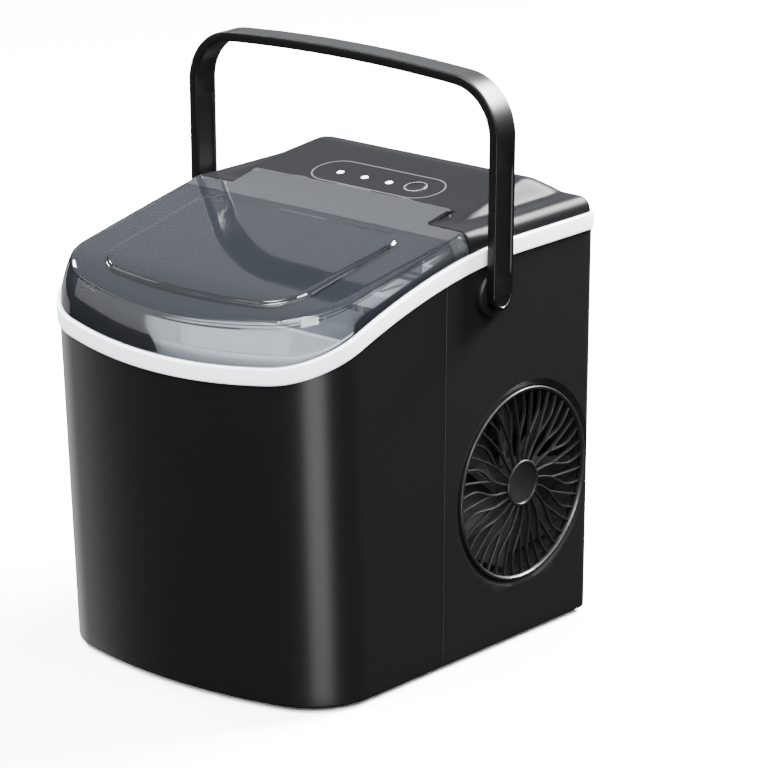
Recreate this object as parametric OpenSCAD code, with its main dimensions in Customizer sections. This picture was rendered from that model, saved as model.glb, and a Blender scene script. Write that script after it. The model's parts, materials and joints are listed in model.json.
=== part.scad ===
// Countertop ice maker: leaning bowed body, clear lid, carry handle, side fan grille.
// Millimetres, +Z up, the front faces -Y. Origin: centre of the footprint, on the floor.

/* [Body] */
// Width across the side walls
body_w = 222; // [220:1:224]
// Distance from the middle of the footprint to the front bow and to the rear wall
body_half_d = 135.2; // [134:0.1:136]
// Radius of the bowed front
bow_r = 306; // [296:1:320]
// Radius of the two front corners
corner_r = 44; // [42:1:46]
// Radius of the two rear corners
rear_r = 8; // [6:0.5:10]
// Thickness of the outer shells
wall = 2.5; // [2:0.1:2.8]
// Lean of the front face, in degrees
lean = 2.5; // [2:0.1:3]

/* [Trim band] */
// Height of the white band
band_h = 10.5; // [9.5:0.5:11]
// How far the band stands out from the shells
band_proud = 1.5; // [1:0.1:1.8]

/* [Handle] */
// Width of the handle strap
strap_w = 18; // [16:1:20]
// Thickness of the handle strap
strap_t = 6.2; // [5.6:0.1:6.4]
// Height of the handle's lower edge above the pivot, at the middle of the grip
grip_rise = 127; // [126:0.5:130]

/* [Lid] */
// Thickness of the clear lid
lid_wall = 2.2; // [1.8:0.1:2.6]

/* [Fan grille] */
// Outer radius of the round grille
grille_r = 60; // [59:0.5:60.5]
// Number of forked ribs
rib_count = 21; // [15:1:24]
// Width of a rib
rib_w = 1.3; // [1.1:0.1:1.6]

/* [Controls] */
// Radius of the round button cap
button_r = 6.1; // [5.6:0.1:6.2]
// Travel of the button
button_travel = 0.8; // [0.5:0.1:0.9]

/* [Hidden] */

half_w = body_w / 2;
seam_y = -6.5;
seam_gap = 0.4;
shell_z = 3;
lean_z = 196;
far = 400;
slit = 0.3;

// Height of the band's lower edge along the side, level at the rear and sweeping down to the front.
band_rear_z = 245.8;
band_level_y = 60;
function band_drop(u) = 0.00155 * u * u - 0.0000012 * u * u * u;
function band_z(y) = band_rear_z - (y < band_level_y ? band_drop(band_level_y - y) : 0);

// Top of the lid along the middle plane.
roof_y = 15;
roof_z0 = 266;
roof_slope = 0.197;
roof_nose_y = -95;
nose_drop = 0.0073;
function roof_z(y) = roof_z0 + roof_slope * (y - roof_y)
  - (y < roof_nose_y ? nose_drop * pow(roof_nose_y - y, 2) : 0);

// Sloping top of the control panel.
panel_y0 = 25;
panel_slope = 0.16;
panel_deg = atan(panel_slope);
panel_rear_y = 100;
function panel_z(y) = roof_z0 + panel_slope * (y - panel_y0);

y_steps = [for (y = [-150:10:150]) y];
function rev(v) = [for (i = [len(v) - 1:-1:0]) v[i]];
round_fn = 96;
small_fn = 48;

// ---------- shared shapes ----------

// Draws a shape given in (y, z) and runs it along X.
module along_x(half) rotate([90, 0, 90]) translate([0, 0, -half]) linear_extrude(2 * half) children();

// Runs a shape given in (x, z) along Y.
module along_y(y0, y1) translate([0, y1, 0]) rotate([90, 0, 0]) linear_extrude(y1 - y0) children();

// Region between two curves that follow the band.
module band_region(lo, hi) along_x(far)
  polygon(concat([for (y = y_steps) [y, band_z(y) + lo]], rev([for (y = y_steps) [y, band_z(y) + hi]])));

// Everything under the band curve raised by an offset.
module under_band(off) along_x(far)
  polygon(concat([for (y = y_steps) [y, band_z(y) + off]], [[150, -20], [-150, -20]]));

// Plan outline of the body, drawn inward by an inset.
module plan(inset) {
  hw = half_w - inset;
  bow_c = bow_r - body_half_d;
  cx = half_w - corner_r;
  cy = bow_c - sqrt(pow(bow_r - corner_r, 2) - cx * cx);
  rr = max(rear_r - inset, 0.5);
  rx = hw - rr;
  ry = body_half_d - inset - rr;
  reach = 1.3;
  union() {
    intersection() {
      translate([0, bow_c]) circle(bow_r - inset, $fn = 360);
      polygon([[0, bow_c], [-cx * reach, bow_c - (bow_c - cy) * reach],
        [cx * reach, bow_c - (bow_c - cy) * reach]]);
      translate([-hw, -far]) square([2 * hw, far]);
    }
    for (s = [-1, 1]) translate([s * cx, cy]) circle(corner_r - inset, $fn = 120);
    translate([-hw, cy]) square([2 * hw, ry - cy]);
    translate([-rx, ry - 1]) square([2 * rx, rr + 1]);
    for (s = [-1, 1]) translate([s * rx, ry]) circle(rr, $fn = 60);
  }
}

// Front half of a body-shaped block; its front face leans back towards the floor.
module front_block(inset, y1) intersection() {
  translate([0, 0, lean_z]) rotate([lean, 0, 0]) translate([0, 0, -far])
    linear_extrude(2 * far) plan(inset);
  translate([-far, -far, -far]) cube([2 * far, far + y1, 2 * far]);
}

// Rear half of a body-shaped block.
module rear_block(inset, y0) intersection() {
  translate([0, 0, -far]) linear_extrude(2 * far) plan(inset);
  translate([-far, y0, -far]) cube([2 * far, far, 2 * far]);
}

module full_block(inset) {
  front_block(inset, seam_y);
  rear_block(inset, seam_y);
}

// The same outline in straight steps, for the moulded pieces inside the shells.
function arc(cx, cy, r, a0, a1, n) = [for (i = [0:n]) let (a = a0 + (a1 - a0) * i / n)
  [cx + r * cos(a), cy + r * sin(a)]];
module stepped_plan(inset, set_back) {
  bow_c = bow_r - body_half_d + set_back;
  cx = half_w - corner_r;
  cy = bow_c - sqrt(pow(bow_r - corner_r, 2) - cx * cx);
  turn = atan2(cy - bow_c, cx);
  rear = body_half_d - inset;
  hw = half_w - inset;
  polygon(concat([[hw, rear - rear_r], [hw, cy]], arc(cx, cy, corner_r - inset, -8, turn, 7),
    arc(0, bow_c, bow_r - inset, turn - 3, -177 - turn, 9),
    arc(-cx, cy, corner_r - inset, -180 - turn, -172, 7),
    [[-hw, cy], [-hw, rear - rear_r], [-hw + rear_r, rear], [hw - rear_r, rear]]));
}

// Upright block on the stepped outline, its front set back to suit its height on the leaning shell.
module stepped_block(inset, set_back) translate([0, 0, -far]) linear_extrude(2 * far)
  stepped_plan(inset, set_back);

pan_set_back = lean_z * sin(lean);
tub_set_back = 6;
flange_set_back = 0.6;

// Horizontal slab that limits a block in height.
module between(z0, z1) translate([-far, -far, z0]) cube([2 * far, 2 * far, z1 - z0]);

module tube(r_out, r_in, h) difference() {
  cylinder(r = r_out, h = h, $fn = round_fn);
  translate([0, 0, -1]) cylinder(r = r_in, h = h + 2, $fn = round_fn);
}

module rod_x(x0, x1, y, z, r) translate([x0, y, z]) rotate([0, 90, 0])
  cylinder(r = r, h = x1 - x0, $fn = small_fn);
module rod_y(x, y0, y1, z, r) translate([x, y0, z]) rotate([-90, 0, 0])
  cylinder(r = r, h = y1 - y0, $fn = small_fn);
module rod_z(x, y, z0, z1, r) translate([x, y, z0]) cylinder(r = r, h = z1 - z0, $fn = small_fn);
module ball(p, r) translate(p) sphere(r, $fn = small_fn);
module block(x0, x1, y0, y1, z0, z1) translate([x0, y0, z0]) cube([x1 - x0, y1 - y0, z1 - z0]);

// ---------- outer case ----------

screw_x = half_w - 7;
screw_ys = [-70, 20, 110];
screw_r = 1.5;
screw_head_r = 3.4;
screw_head_h = 2.2;
pan_z = 5;
pan_t = 3;
rib_inset = 13.5;
boss_r = 5;
boss_top = 22;
shell_rise = band_h - 0.5;

module screw_bosses(ys) difference() {
  for (s = [-1, 1], y = ys) rod_z(s * screw_x, y, pan_z + pan_t + slit, boss_top, boss_r);
  for (s = [-1, 1], y = ys) rod_z(s * screw_x, y, 0, boss_top - 2, screw_r + 0.05);
}

module front_shell() color("#17171a") {
  difference() {
    intersection() {
      front_block(0, seam_y - seam_gap / 2);
      under_band(shell_rise);
      between(shell_z, far);
    }
    front_block(wall, seam_y + 1);
    rod_x(-half_w - 1, -half_w + wall + 1, drain_y, drain_z, drain_hole_r);
  }
  screw_bosses([screw_ys[0]]);
}

fan_y = 69;
fan_z = 99.5;
recess_r = grille_r + 4.5;
hole_r = grille_r + 0.4;
boss_y = 34.5;
boss_z = 226;
handle_boss_r = 14;
vent_rows = 11;
vent_w = 70;
vent_h = 4;
vent_pitch = 9;
vent_z0 = 60;
side_vent_y0 = 24;
side_vent_w = 90;
gland_x = -78;
gland_z = 34;
gland_r = 7;
drain_y = -52;
drain_z = 26;
drain_r = 9;
drain_hole_r = 4.6;

module rear_shell() color("#17171a") {
  difference() {
    intersection() {
      rear_block(0, seam_y + seam_gap / 2);
      under_band(shell_rise);
      between(shell_z, far);
    }
    rear_block(wall, seam_y - 1);
    // conical recess and round opening for the grille
    translate([half_w - 1.6, fan_y, fan_z]) rotate([0, 90, 0])
      cylinder(r1 = hole_r, r2 = recess_r + 1, h = 2, $fn = round_fn);
    rod_x(half_w - wall - 2, half_w + 1, fan_y, fan_z, hole_r);
    // seats for the two handle bosses
    for (s = [-1, 1]) rod_x(s * half_w - 4, s * half_w + 4, boss_y, boss_z, handle_boss_r - 4);
    // louvres in the rear wall and in the left wall
    for (i = [0:vent_rows - 1]) {
      block(-vent_w / 2, vent_w / 2, body_half_d - wall - 1, body_half_d + 1,
        vent_z0 + i * vent_pitch, vent_z0 + i * vent_pitch + vent_h);
      block(-half_w - 1, -half_w + wall + 1, side_vent_y0, side_vent_y0 + side_vent_w,
        vent_z0 + i * vent_pitch, vent_z0 + i * vent_pitch + vent_h);
    }
    rod_y(gland_x, body_half_d - wall - 1, body_half_d + 1, gland_z, gland_r);
  }
  screw_bosses([screw_ys[1], screw_ys[2]]);
}

module trim_band() color("#eceff3") difference() {
  intersection() {
    full_block(-band_proud);
    band_region(0, band_h);
  }
  full_block(0);
}

foot_x = 82;
foot_front_y = -88;
foot_rear_y = 108;
foot_r = 10;
foot_stem_r = 4;
foot_stem_h = 4;

module base_pan() color("#2a2b2e") difference() {
  union() {
    intersection() {
      stepped_block(wall + slit, pan_set_back);
      between(pan_z, pan_z + pan_t);
    }
    // upturned rib that stiffens the pan
    difference() {
      intersection() {
        stepped_block(rib_inset, pan_set_back);
        between(pan_z + pan_t, pan_z + 2 * pan_t);
      }
      stepped_block(rib_inset + 2, pan_set_back);
    }
  }
  for (x = [-foot_x, foot_x], y = [foot_front_y, foot_rear_y]) rod_z(x, y, 0, 20, foot_stem_r);
  for (s = [-1, 1], y = screw_ys) {
    rod_z(s * screw_x, y, 0, 20, screw_r + 0.1);
    rod_z(s * screw_x, y, 0, pan_z + 1.2, screw_head_r + 0.2);
  }
  for (a = [0, 120, 240]) translate([comp_x, comp_y, 0]) rotate([0, 0, a])
    rod_z(comp_foot_r, 0, 0, 20, grommet_neck_r);
}

module foot(x, y) color("#101011") {
  rod_z(x, y, 0, pan_z, foot_r);
  rod_z(x, y, pan_z, pan_z + foot_stem_h, foot_stem_r);
}
module foot_front_left() foot(-foot_x, foot_front_y);
module foot_front_right() foot(foot_x, foot_front_y);
module foot_rear_left() foot(-foot_x, foot_rear_y);
module foot_rear_right() foot(foot_x, foot_rear_y);

module case_screws() color("#9b9ea3") for (s = [-1, 1], y = screw_ys) {
  rod_z(s * screw_x, y, pan_z + 1.2 - screw_head_h, pan_z + 1.2, screw_head_r);
  rod_z(s * screw_x, y, pan_z + 1, boss_top - 4, screw_r);
}

// ---------- rear top cover and controls ----------

cover_inset = 0.9;
ear_y = 15.6;
notch_y = 40.4;
notch_half = 78;
shoulder_half = 104.3;
panel_half_top = 81;
panel_half_low = 92;
cover_wall = 2.2;
cover_foot = band_h - 0.3;
ear_mid = 90;
post_r = 2.5;
board_drop = 10.4;
swing_r = 16.1;
swing_wall = 1.6;

// Outer form of the cover, drawn inward by t.
module cover_form(t) {
  intersection() {
    rear_block(cover_inset + t, ear_y + t);
    along_x(far) polygon(concat([for (y = [10:10:band_level_y]) [y, band_z(y) + cover_foot - 3 * t]],
      [[body_half_d + 1, band_rear_z + cover_foot - 3 * t], [body_half_d + 1, 255 - t], [133 - t, 259 - t],
      [128 - t / 2, roof_z0 - 2.2 - t], [120, roof_z0 + 0.3 - t], [panel_y0, roof_z0 + 0.3 - t],
      [10, roof_z0 - t]]));
    along_y(-10, 150) polygon([[-half_w, 230], [-half_w, 257 - t], [-107.6 + t, 262.8 - t],
      [-shoulder_half + t, roof_z0 + 0.3 - t], [-shoulder_half + t, 300], [shoulder_half - t, 300],
      [shoulder_half - t, roof_z0 + 0.3 - t], [107.6 - t, 262.8 - t], [half_w, 257 - t], [half_w, 230]]);
  }
  intersection() {
    along_x(far) polygon([[notch_y + t, 250], [notch_y + t, panel_z(notch_y + t) - t],
      [panel_rear_y - t / 2, panel_z(panel_rear_y) - t], [112 - t, panel_z(panel_rear_y) - 5 - t],
      [128 - t, roof_z0 - 2.2 - t], [128 - t, 250]]);
    along_y(notch_y + t, 128) polygon([[-panel_half_low - 3 + t, 252], [-panel_half_low + t, roof_z0 - t],
      [-panel_half_top + t, panel_z(panel_rear_y) - t], [panel_half_top - t, panel_z(panel_rear_y) - t],
      [panel_half_low - t, roof_z0 - t], [panel_half_low + 3 - t, 252]]);
  }
}

button_x = 30.4;
button_y = 61.2;
led_xs = [-28, -8.6, 10.8];
led_y = 59.7;
led_r = 2.5;
led_h = 3;
ring_r = 7.4;
ring_wall = 0.9;
ring_h = 3;
ring_proud = 0.5;
cap_h = 4;
cap_proud = 0.4;
stem_r = 2;
stem_play = 0.2;
switch_w = 7;
switch_h = 2;
film_t = 0.25;
film_half_x = 48.5;
film_r = 15.5;
film_y = 60.5;
film_x = 1.5;

module on_panel(x, y) translate([x, y, panel_z(y)]) rotate([panel_deg, 0, 0]) children();

module top_cover() color("#1b1b1e") difference() {
  union() {
    difference() {
      cover_form(0);
      difference() {
        cover_form(cover_wall);
        // ears carry the lid pins
        for (s = [-1, 1]) rod_x(s * ear_mid - 12, s * ear_mid + 12, hinge_y, hinge_z, hinge_boss_r);
      }
    }
    // rounded pocket for the swing of the lid's tongue
    intersection() {
      rod_x(-notch_half, notch_half, hinge_y, hinge_z, swing_r + swing_wall);
      cover_form(0);
    }
    // posts that hold the display board
    for (x = [-46, 46], y = [-11, 13]) on_panel(0, button_y) translate([x, y, -board_drop])
      cylinder(r = post_r, h = board_drop - cover_wall + 0.5, $fn = small_fn);
  }
  block(-notch_half, notch_half, -10, notch_y, 230, 300);
  rod_x(-notch_half, notch_half, hinge_y, hinge_z, swing_r);
  for (s = [-1, 1]) rod_x(s * ear_mid - 13, s * ear_mid + 13, hinge_y, hinge_z, pin_r);
  on_panel(button_x, button_y) translate([0, 0, -10]) cylinder(r = ring_r, h = 20, $fn = small_fn);
  for (x = led_xs) on_panel(x, led_y) translate([0, 0, -10]) cylinder(r = led_r, h = 20, $fn = small_fn);
}

module stadium(r) {
  translate([-film_half_x + film_r, 0]) circle(r, $fn = small_fn);
  translate([film_half_x - film_r, 0]) circle(r, $fn = small_fn);
  translate([-film_half_x + film_r, -r]) square([2 * (film_half_x - film_r), 2 * r]);
}

module control_film() color("#1d1d21") difference() {
  on_panel(film_x, film_y) linear_extrude(film_t) stadium(film_r);
  on_panel(button_x, button_y) translate([0, 0, -5]) cylinder(r = ring_r + 0.1, h = 10, $fn = small_fn);
  for (x = led_xs) on_panel(x, led_y) translate([0, 0, -5])
    cylinder(r = led_r + 0.1, h = 10, $fn = small_fn);
}

module led(x) color("#f4f6f8") on_panel(x, led_y) translate([0, 0, 0.3 - led_h])
  cylinder(r = led_r, h = led_h, $fn = small_fn);
module led_left() led(led_xs[0]);
module led_middle() led(led_xs[1]);
module led_right() led(led_xs[2]);

module button_ring() color("#c9ccd1") on_panel(button_x, button_y)
  translate([0, 0, ring_proud - ring_h]) tube(ring_r, ring_r - ring_wall, ring_h);

// The cap's stem stops above the switch by the travel and a little play.
module power_button() color("#1d1d20") on_panel(button_x, button_y) {
  translate([0, 0, -cap_h]) cylinder(r = button_r, h = cap_h + ring_proud + cap_proud, $fn = small_fn);
  translate([0, 0, switch_h - board_drop + button_travel + stem_play])
    cylinder(r = stem_r, h = board_drop - switch_h - button_travel - cap_h, $fn = small_fn);
}

module display_board() color("#1f6b3a") on_panel(0, button_y) {
  translate([-52, -16, -board_drop - 1.6]) cube([104, 34, 1.6]);
  translate([button_x - switch_w / 2, -switch_w / 2, -board_drop]) cube([switch_w, switch_w, switch_h]);
  for (x = led_xs) translate([x - 2, led_y - button_y - 2, -board_drop]) cube([4, 4, 1.5]);
}

// ---------- lid ----------

hinge_y = 27;
hinge_z = 259.5;
hinge_boss_r = 5;
knuckle_r = 4.6;
pin_r = 1.9;
pin_play = 0.06;
tongue_half = 76.6;
tongue_y = 38.2;
fascia_deg = 18.7;
fascia_z = 206.5;
side_lean = 0.42;
lid_gap = band_h + 0.8;
window_half = 79;
window_y0 = -115;
window_y1 = -5;
window_r = 18;
window_step = 0.8;
finger_y0 = -66;
finger_y1 = -45;
rim_reach = 9;

// Outer form of the lid, drawn inward by t.
module lid_form(t, drop) intersection() {
  translate([0, -body_half_d, fascia_z]) rotate([-fascia_deg, 0, 0]) translate([0, body_half_d, -far])
    linear_extrude(2 * far) plan(cover_inset + t);
  along_x(far) polygon(concat([for (y = y_steps) if (y < 60) [y, band_z(y) + lid_gap - drop]],
    rev([for (y = y_steps) if (y < 60) [y, roof_z(y) - t]])));
  translate([0, roof_y, roof_z0]) rotate([atan(roof_slope), 0, 0]) along_y(-far, far)
    polygon([[-shoulder_half + t + 20 * side_lean, 20], [-shoulder_half + t - 60 * side_lean, -60],
      [shoulder_half - t + 60 * side_lean, -60], [shoulder_half - t - 20 * side_lean, 20]]);
  union() {
    translate([-far, -far, 0]) cube([2 * far, far + roof_y - t, far]);
    translate([-tongue_half + t, 0, roof_z0 - 8]) cube([2 * (tongue_half - t), tongue_y - t, far]);
  }
}

module window_plan() {
  y0 = window_y0 + 8;
  inner_half = window_half - window_r;
  translate([-window_half, y0 + window_r]) square([2 * window_half, window_y1 - y0 - 2 * window_r]);
  for (s = [-1, 1]) {
    translate([s * inner_half, y0 + window_r]) circle(window_r, $fn = small_fn);
    translate([s * inner_half, window_y1 - window_r]) circle(window_r, $fn = small_fn);
  }
  translate([-inner_half, y0]) square([2 * inner_half, window_y1 - y0]);
}

ear_relief_r = 13.6;

module lid() color("#5b626b") difference() {
  union() {
    difference() {
      union() {
        lid_form(0, 0);
        // flat rim that closes the lid against the band
        difference() {
          intersection() {
            front_block(cover_inset, roof_y);
            band_region(lid_gap, lid_gap + lid_wall);
          }
          front_block(rim_reach, tub_rear_y + far);
        }
        // raised window panel
        intersection() {
          along_x(far) polygon(concat([for (y = y_steps) if (y < 60) [y, roof_z(y) - 1]],
            rev([for (y = y_steps) if (y < 60) [y, roof_z(y) + window_step]])));
          linear_extrude(far) window_plan();
        }
      }
      lid_form(lid_wall, 20);
      // finger notch on each side
      for (s = [-1, 1]) translate([s * half_w - 8, finger_y0, 0])
        cube([16, finger_y1 - finger_y0, band_z(finger_y0) + lid_gap + 5]);
    }
    for (s = [-1, 1]) lid_knuckle(s);
  }
  for (s = [-1, 1]) {
    rod_x(s * 72 - 8, s * 72 + 8, hinge_y, hinge_z, pin_r + pin_play);
    // clearance to the cover's ears as the lid swings up
    rod_x(s * 94.5 - 17, s * 94.5 + 17, hinge_y, hinge_z, ear_relief_r);
  }
}

module lid_knuckle(s) {
  rod_x(s * 70 - 5, s * 70 + 5, hinge_y, hinge_z, knuckle_r);
  block(s * 70 - 5, s * 70 + 5, hinge_y - 3, hinge_y + 3, hinge_z, roof_z(hinge_y) - lid_wall + 0.1);
}

module lid_pin(s) color("#b9bcc1") rod_x(s * 78.5 - 11.5, s * 78.5 + 11.5, hinge_y, hinge_z, pin_r);
module lid_pin_left() lid_pin(-1);
module lid_pin_right() lid_pin(1);

// ---------- handle ----------

strap_out = 121.5;
strap_in = strap_out - strap_t;
strap_corner = 35;
crown_r = 1250;
grip_z = boss_z + grip_rise;
strap_end_r = strap_w / 2;
channel_w = 11;
channel_d = 0.8;
handle_pin_r = 4.5;
handle_play = 0.08;

// Frame of the handle in (x, z): outer outline grown inward by t.
module bail_outline(t) {
  ox = strap_out - t;
  cz = grip_z + strap_t - t;
  cr = strap_corner - t;
  union() {
    intersection() {
      translate([0, cz - crown_r]) circle(crown_r, $fn = 360);
      translate([-ox + cr, boss_z]) square([2 * (ox - cr), far]);
    }
    for (s = [-1, 1]) translate([s * (ox - cr), cz - cr - 3.0]) circle(cr, $fn = 120);
    translate([-ox, boss_z]) square([2 * ox, cz - cr - 3.0 - boss_z]);
  }
}

module handle() color("#151517") difference() {
  union() {
    difference() {
      along_y(boss_y - strap_w / 2, boss_y + strap_w / 2) bail_outline(0);
      along_y(boss_y - strap_w, boss_y + strap_w) union() {
        bail_outline(strap_t);
        translate([-strap_in, 0]) square([2 * strap_in, boss_z + 20]);
      }
    }
    for (s = [-1, 1]) translate([s * (strap_out - strap_t / 2), 0, 0])
      rod_x(-strap_t / 2, strap_t / 2, boss_y, boss_z, strap_end_r);
  }
  // shallow channel along the outer face of each leg, and the pivot bore
  for (s = [-1, 1]) {
    block(s * strap_out - channel_d, s * strap_out + channel_d,
      boss_y - channel_w / 2, boss_y + channel_w / 2, boss_z, grip_z - strap_corner);
    rod_x(s * strap_out - 10, s * strap_out + 10, boss_y, boss_z, handle_pin_r + handle_play);
  }
}

// Boss plugged into the side wall; its pin carries the handle and a flange holds it on.
module handle_boss(s) color("#1b1b1e") translate([0, boss_y, boss_z]) rotate([0, s * 90, 0]) {
  translate([0, 0, half_w - wall - 2]) cylinder(r = handle_boss_r - 4, h = wall + 2, $fn = small_fn);
  translate([0, 0, half_w]) cylinder(r = handle_boss_r, h = strap_in - half_w - 0.4, $fn = round_fn);
  translate([0, 0, half_w]) cylinder(r = handle_pin_r, h = strap_out - half_w - 1.2, $fn = small_fn);
}
module handle_boss_left() handle_boss(-1);
module handle_boss_right() handle_boss(1);

// ---------- fan side ----------

grille_x = half_w - 4.2;
grille_t = 3;
rim_w = 2.4;
rim_proud = 0.8;
hub_r = 14.3;
hub_wall = 1.8;
hub_disc_r = 12.2;
fork_r = 29;
fork_deg = -7;

// Sweep of the two arms of a forked rib, in degrees, against radius.
function stem_deg(r) = fork_deg * (r - hub_r) / (fork_r - hub_r);
function arm_a(r) = fork_deg - 8.5 * sin(min(90, (r - fork_r) * 5)) + 0.012 * pow(max(0, r - 40), 2) * 0.9;
function arm_b(r) = fork_deg + 1.2 * sin(min(90, (r - fork_r) * 5)) + 0.004 * pow(max(0, r - 36), 2);

module curved_bar(pts) for (i = [0:len(pts) - 2]) {
  a = pts[i];
  b = pts[i + 1];
  d = b - a;
  n = [-d[1], d[0]] / norm(d) * rib_w / 2;
  e = d / norm(d) * rib_w * 0.2;
  polygon([a - n - e, a + n - e, b + n + e, b - n + e]);
}

function polar(r, t) = [r * cos(t), r * sin(t)];
stem_pts = [for (r = [hub_r - 1, 21, fork_r + 0.5]) polar(r, stem_deg(r))];
arm_a_pts = [for (r = [fork_r, 33, 38, 45, 52, grille_r - 1]) polar(r, arm_a(r))];
arm_b_pts = [for (r = [fork_r, 38, 48, grille_r - 1]) polar(r, arm_b(r))];

// Faces +X: the drawing's x runs to +Y and its y to +Z.
module grille_frame() translate([grille_x, fan_y, fan_z]) rotate([90, 0, 90]) children();

module fan_grille() color("#1a1a1d") grille_frame() {
  tube(grille_r, grille_r - rim_w, grille_t + rim_proud);
  tube(hub_r, hub_r - hub_wall, grille_t);
  translate([0, 0, 0.4]) cylinder(r = hub_disc_r + 0.6, h = 1.4, $fn = small_fn);
  linear_extrude(grille_t) for (k = [0:rib_count - 1]) rotate(k * 360 / rib_count) {
    curved_bar(stem_pts);
    curved_bar(arm_a_pts);
    curved_bar(arm_b_pts);
  }
}

shroud_x = 84;
shroud_t = 3;
shroud_hole_r = 57;
shroud_y0 = 8;
shroud_y1 = 130;
shroud_z0 = 36;
shroud_z1 = 160;
fan_r = 54;
fan_hub_r = 15;
blade_count = 7;
blade_deg = 28;
motor_r = 19;

module fan_shroud() color("#232427") {
  difference() {
    block(shroud_x, shroud_x + shroud_t, shroud_y0, shroud_y1, shroud_z0, shroud_z1);
    rod_x(shroud_x - 1, shroud_x + shroud_t + 1, fan_y, fan_z, shroud_hole_r);
  }
  translate([shroud_x, fan_y, fan_z]) rotate([0, 90, 0]) tube(shroud_hole_r + 1.8, shroud_hole_r, 21);
  // foot and three arms that carry the motor
  block(shroud_x, shroud_x + shroud_t, shroud_y0 + 20, shroud_y1 - 30, pan_z + pan_t, shroud_z0 + 1);
  translate([shroud_x, fan_y, fan_z]) for (a = [90, 210, 330]) rotate([a, 0, 0])
    translate([0, -4, motor_r]) cube([shroud_t, 8, shroud_hole_r - motor_r + 1]);
  translate([shroud_x, fan_y, fan_z]) rotate([0, 90, 0]) tube(motor_r + 2, motor_r, shroud_t);
}

module fan_motor() color("#8d9096") {
  rod_x(62, shroud_x + shroud_t, fan_y, fan_z, motor_r);
  rod_x(shroud_x + shroud_t, 98, fan_y, fan_z, 2);
}

module fan_blades() color("#2c2d30") translate([0, fan_y, fan_z]) difference() {
  union() {
    translate([90, 0, 0]) rotate([0, 90, 0]) cylinder(r = fan_hub_r, h = 11, $fn = round_fn);
    for (k = [0:blade_count - 1]) rotate([k * 360 / blade_count, 0, 0]) translate([95.5, 0, 0])
      intersection() {
        rotate([0, 0, blade_deg]) translate([-0.8, -17, fan_hub_r - 2]) cube([1.6, 34, fan_r - fan_hub_r]);
        translate([-7, 0, 0]) rotate([0, 90, 0]) cylinder(r = fan_r, h = 14, $fn = round_fn);
      }
  }
  rod_x(80, 98.2, 0, 0, 2.06);
}

cond_x0 = 34;
cond_x1 = 56;
cond_y0 = 14;
cond_y1 = 124;
cond_z0 = 42;
cond_z1 = 156;
fin_count = 18;
fin_t = 0.7;
pass_count = 6;
pass_r = 3;

module condenser() color("#b9bec4") {
  for (i = [0:fin_count - 1]) {
    y = cond_y0 + i * (cond_y1 - cond_y0 - fin_t) / (fin_count - 1);
    block(cond_x0, cond_x1, y, y + fin_t, cond_z0, cond_z1);
  }
  for (k = [0:pass_count - 1]) {
    z = cond_z0 + 12 + k * 18;
    rod_y((cond_x0 + cond_x1) / 2, cond_y0 - 1, cond_y1 + 1, z, pass_r);
    // return bends joining neighbouring passes
    if (k < pass_count - 1)
      rod_z((cond_x0 + cond_x1) / 2, k % 2 == 0 ? cond_y1 + 1 : cond_y0 - 1, z, z + 18, pass_r);
  }
  // foot on the pan
  for (y = [cond_y0, cond_y1 - fin_t]) block(cond_x0, cond_x1, y, y + fin_t, pan_z + pan_t, cond_z0 + 1);
}

// ---------- cooling circuit ----------

comp_x = -45;
comp_y = 70;
comp_r = 42;
comp_z0 = 18;
comp_z1 = 112;
comp_foot_r = 48;
grommet_neck_r = 3.5;
grommet_r = 7;
plate_t = 2.5;

module compressor() color("#1c1d20") translate([comp_x, comp_y, 0]) {
  translate([0, 0, comp_z0]) cylinder(r = comp_r, h = comp_z1 - comp_z0, $fn = round_fn);
  intersection() {
    translate([0, 0, comp_z1 - 62]) sphere(74, $fn = round_fn);
    translate([0, 0, comp_z1 - 1]) cylinder(r = comp_r, h = 40, $fn = round_fn);
  }
  difference() {
    union() {
      for (a = [0, 120, 240]) rotate([0, 0, a]) {
        translate([20, -8, comp_z0 - plate_t]) cube([comp_foot_r - 20, 16, plate_t + 0.5]);
        rod_z(comp_foot_r, 0, comp_z0 - plate_t, comp_z0 + 0.5, 8);
      }
    }
    for (a = [0, 120, 240]) rotate([0, 0, a]) rod_z(comp_foot_r, 0, 0, 30, grommet_neck_r + 0.05);
  }
}

module compressor_grommets() color("#0f0f10") for (a = [0, 120, 240])
  translate([comp_x, comp_y, 0]) rotate([0, 0, a]) {
    rod_z(comp_foot_r, 0, pan_z + pan_t, comp_z0 - plate_t, grommet_r);
    rod_z(comp_foot_r, 0, pan_z + 0.5, comp_z0 + 2, grommet_neck_r);
  }

pipe_r = 3;
cond_x = (cond_x0 + cond_x1) / 2;
cond_top_z = cond_z0 + 12 + (pass_count - 1) * 18;
cond_low_z = cond_z0 + 12;
drier_x = 12;
drier_y = 116;
drier_r = 9;
drier_z0 = 70;
drier_z1 = 130;
valve_x = 20;
valve_y = 102;
valve_z = 190;
valve_r = 12;
evap_y = 38;
evap_z = 222;
evap_pipe_x = 58;
evap_pipe_z = 241;
suction_x = -58;
dome_z = comp_z1 - 62 + sqrt(74 * 74 - 20 * 20 - 12 * 12);

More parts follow.
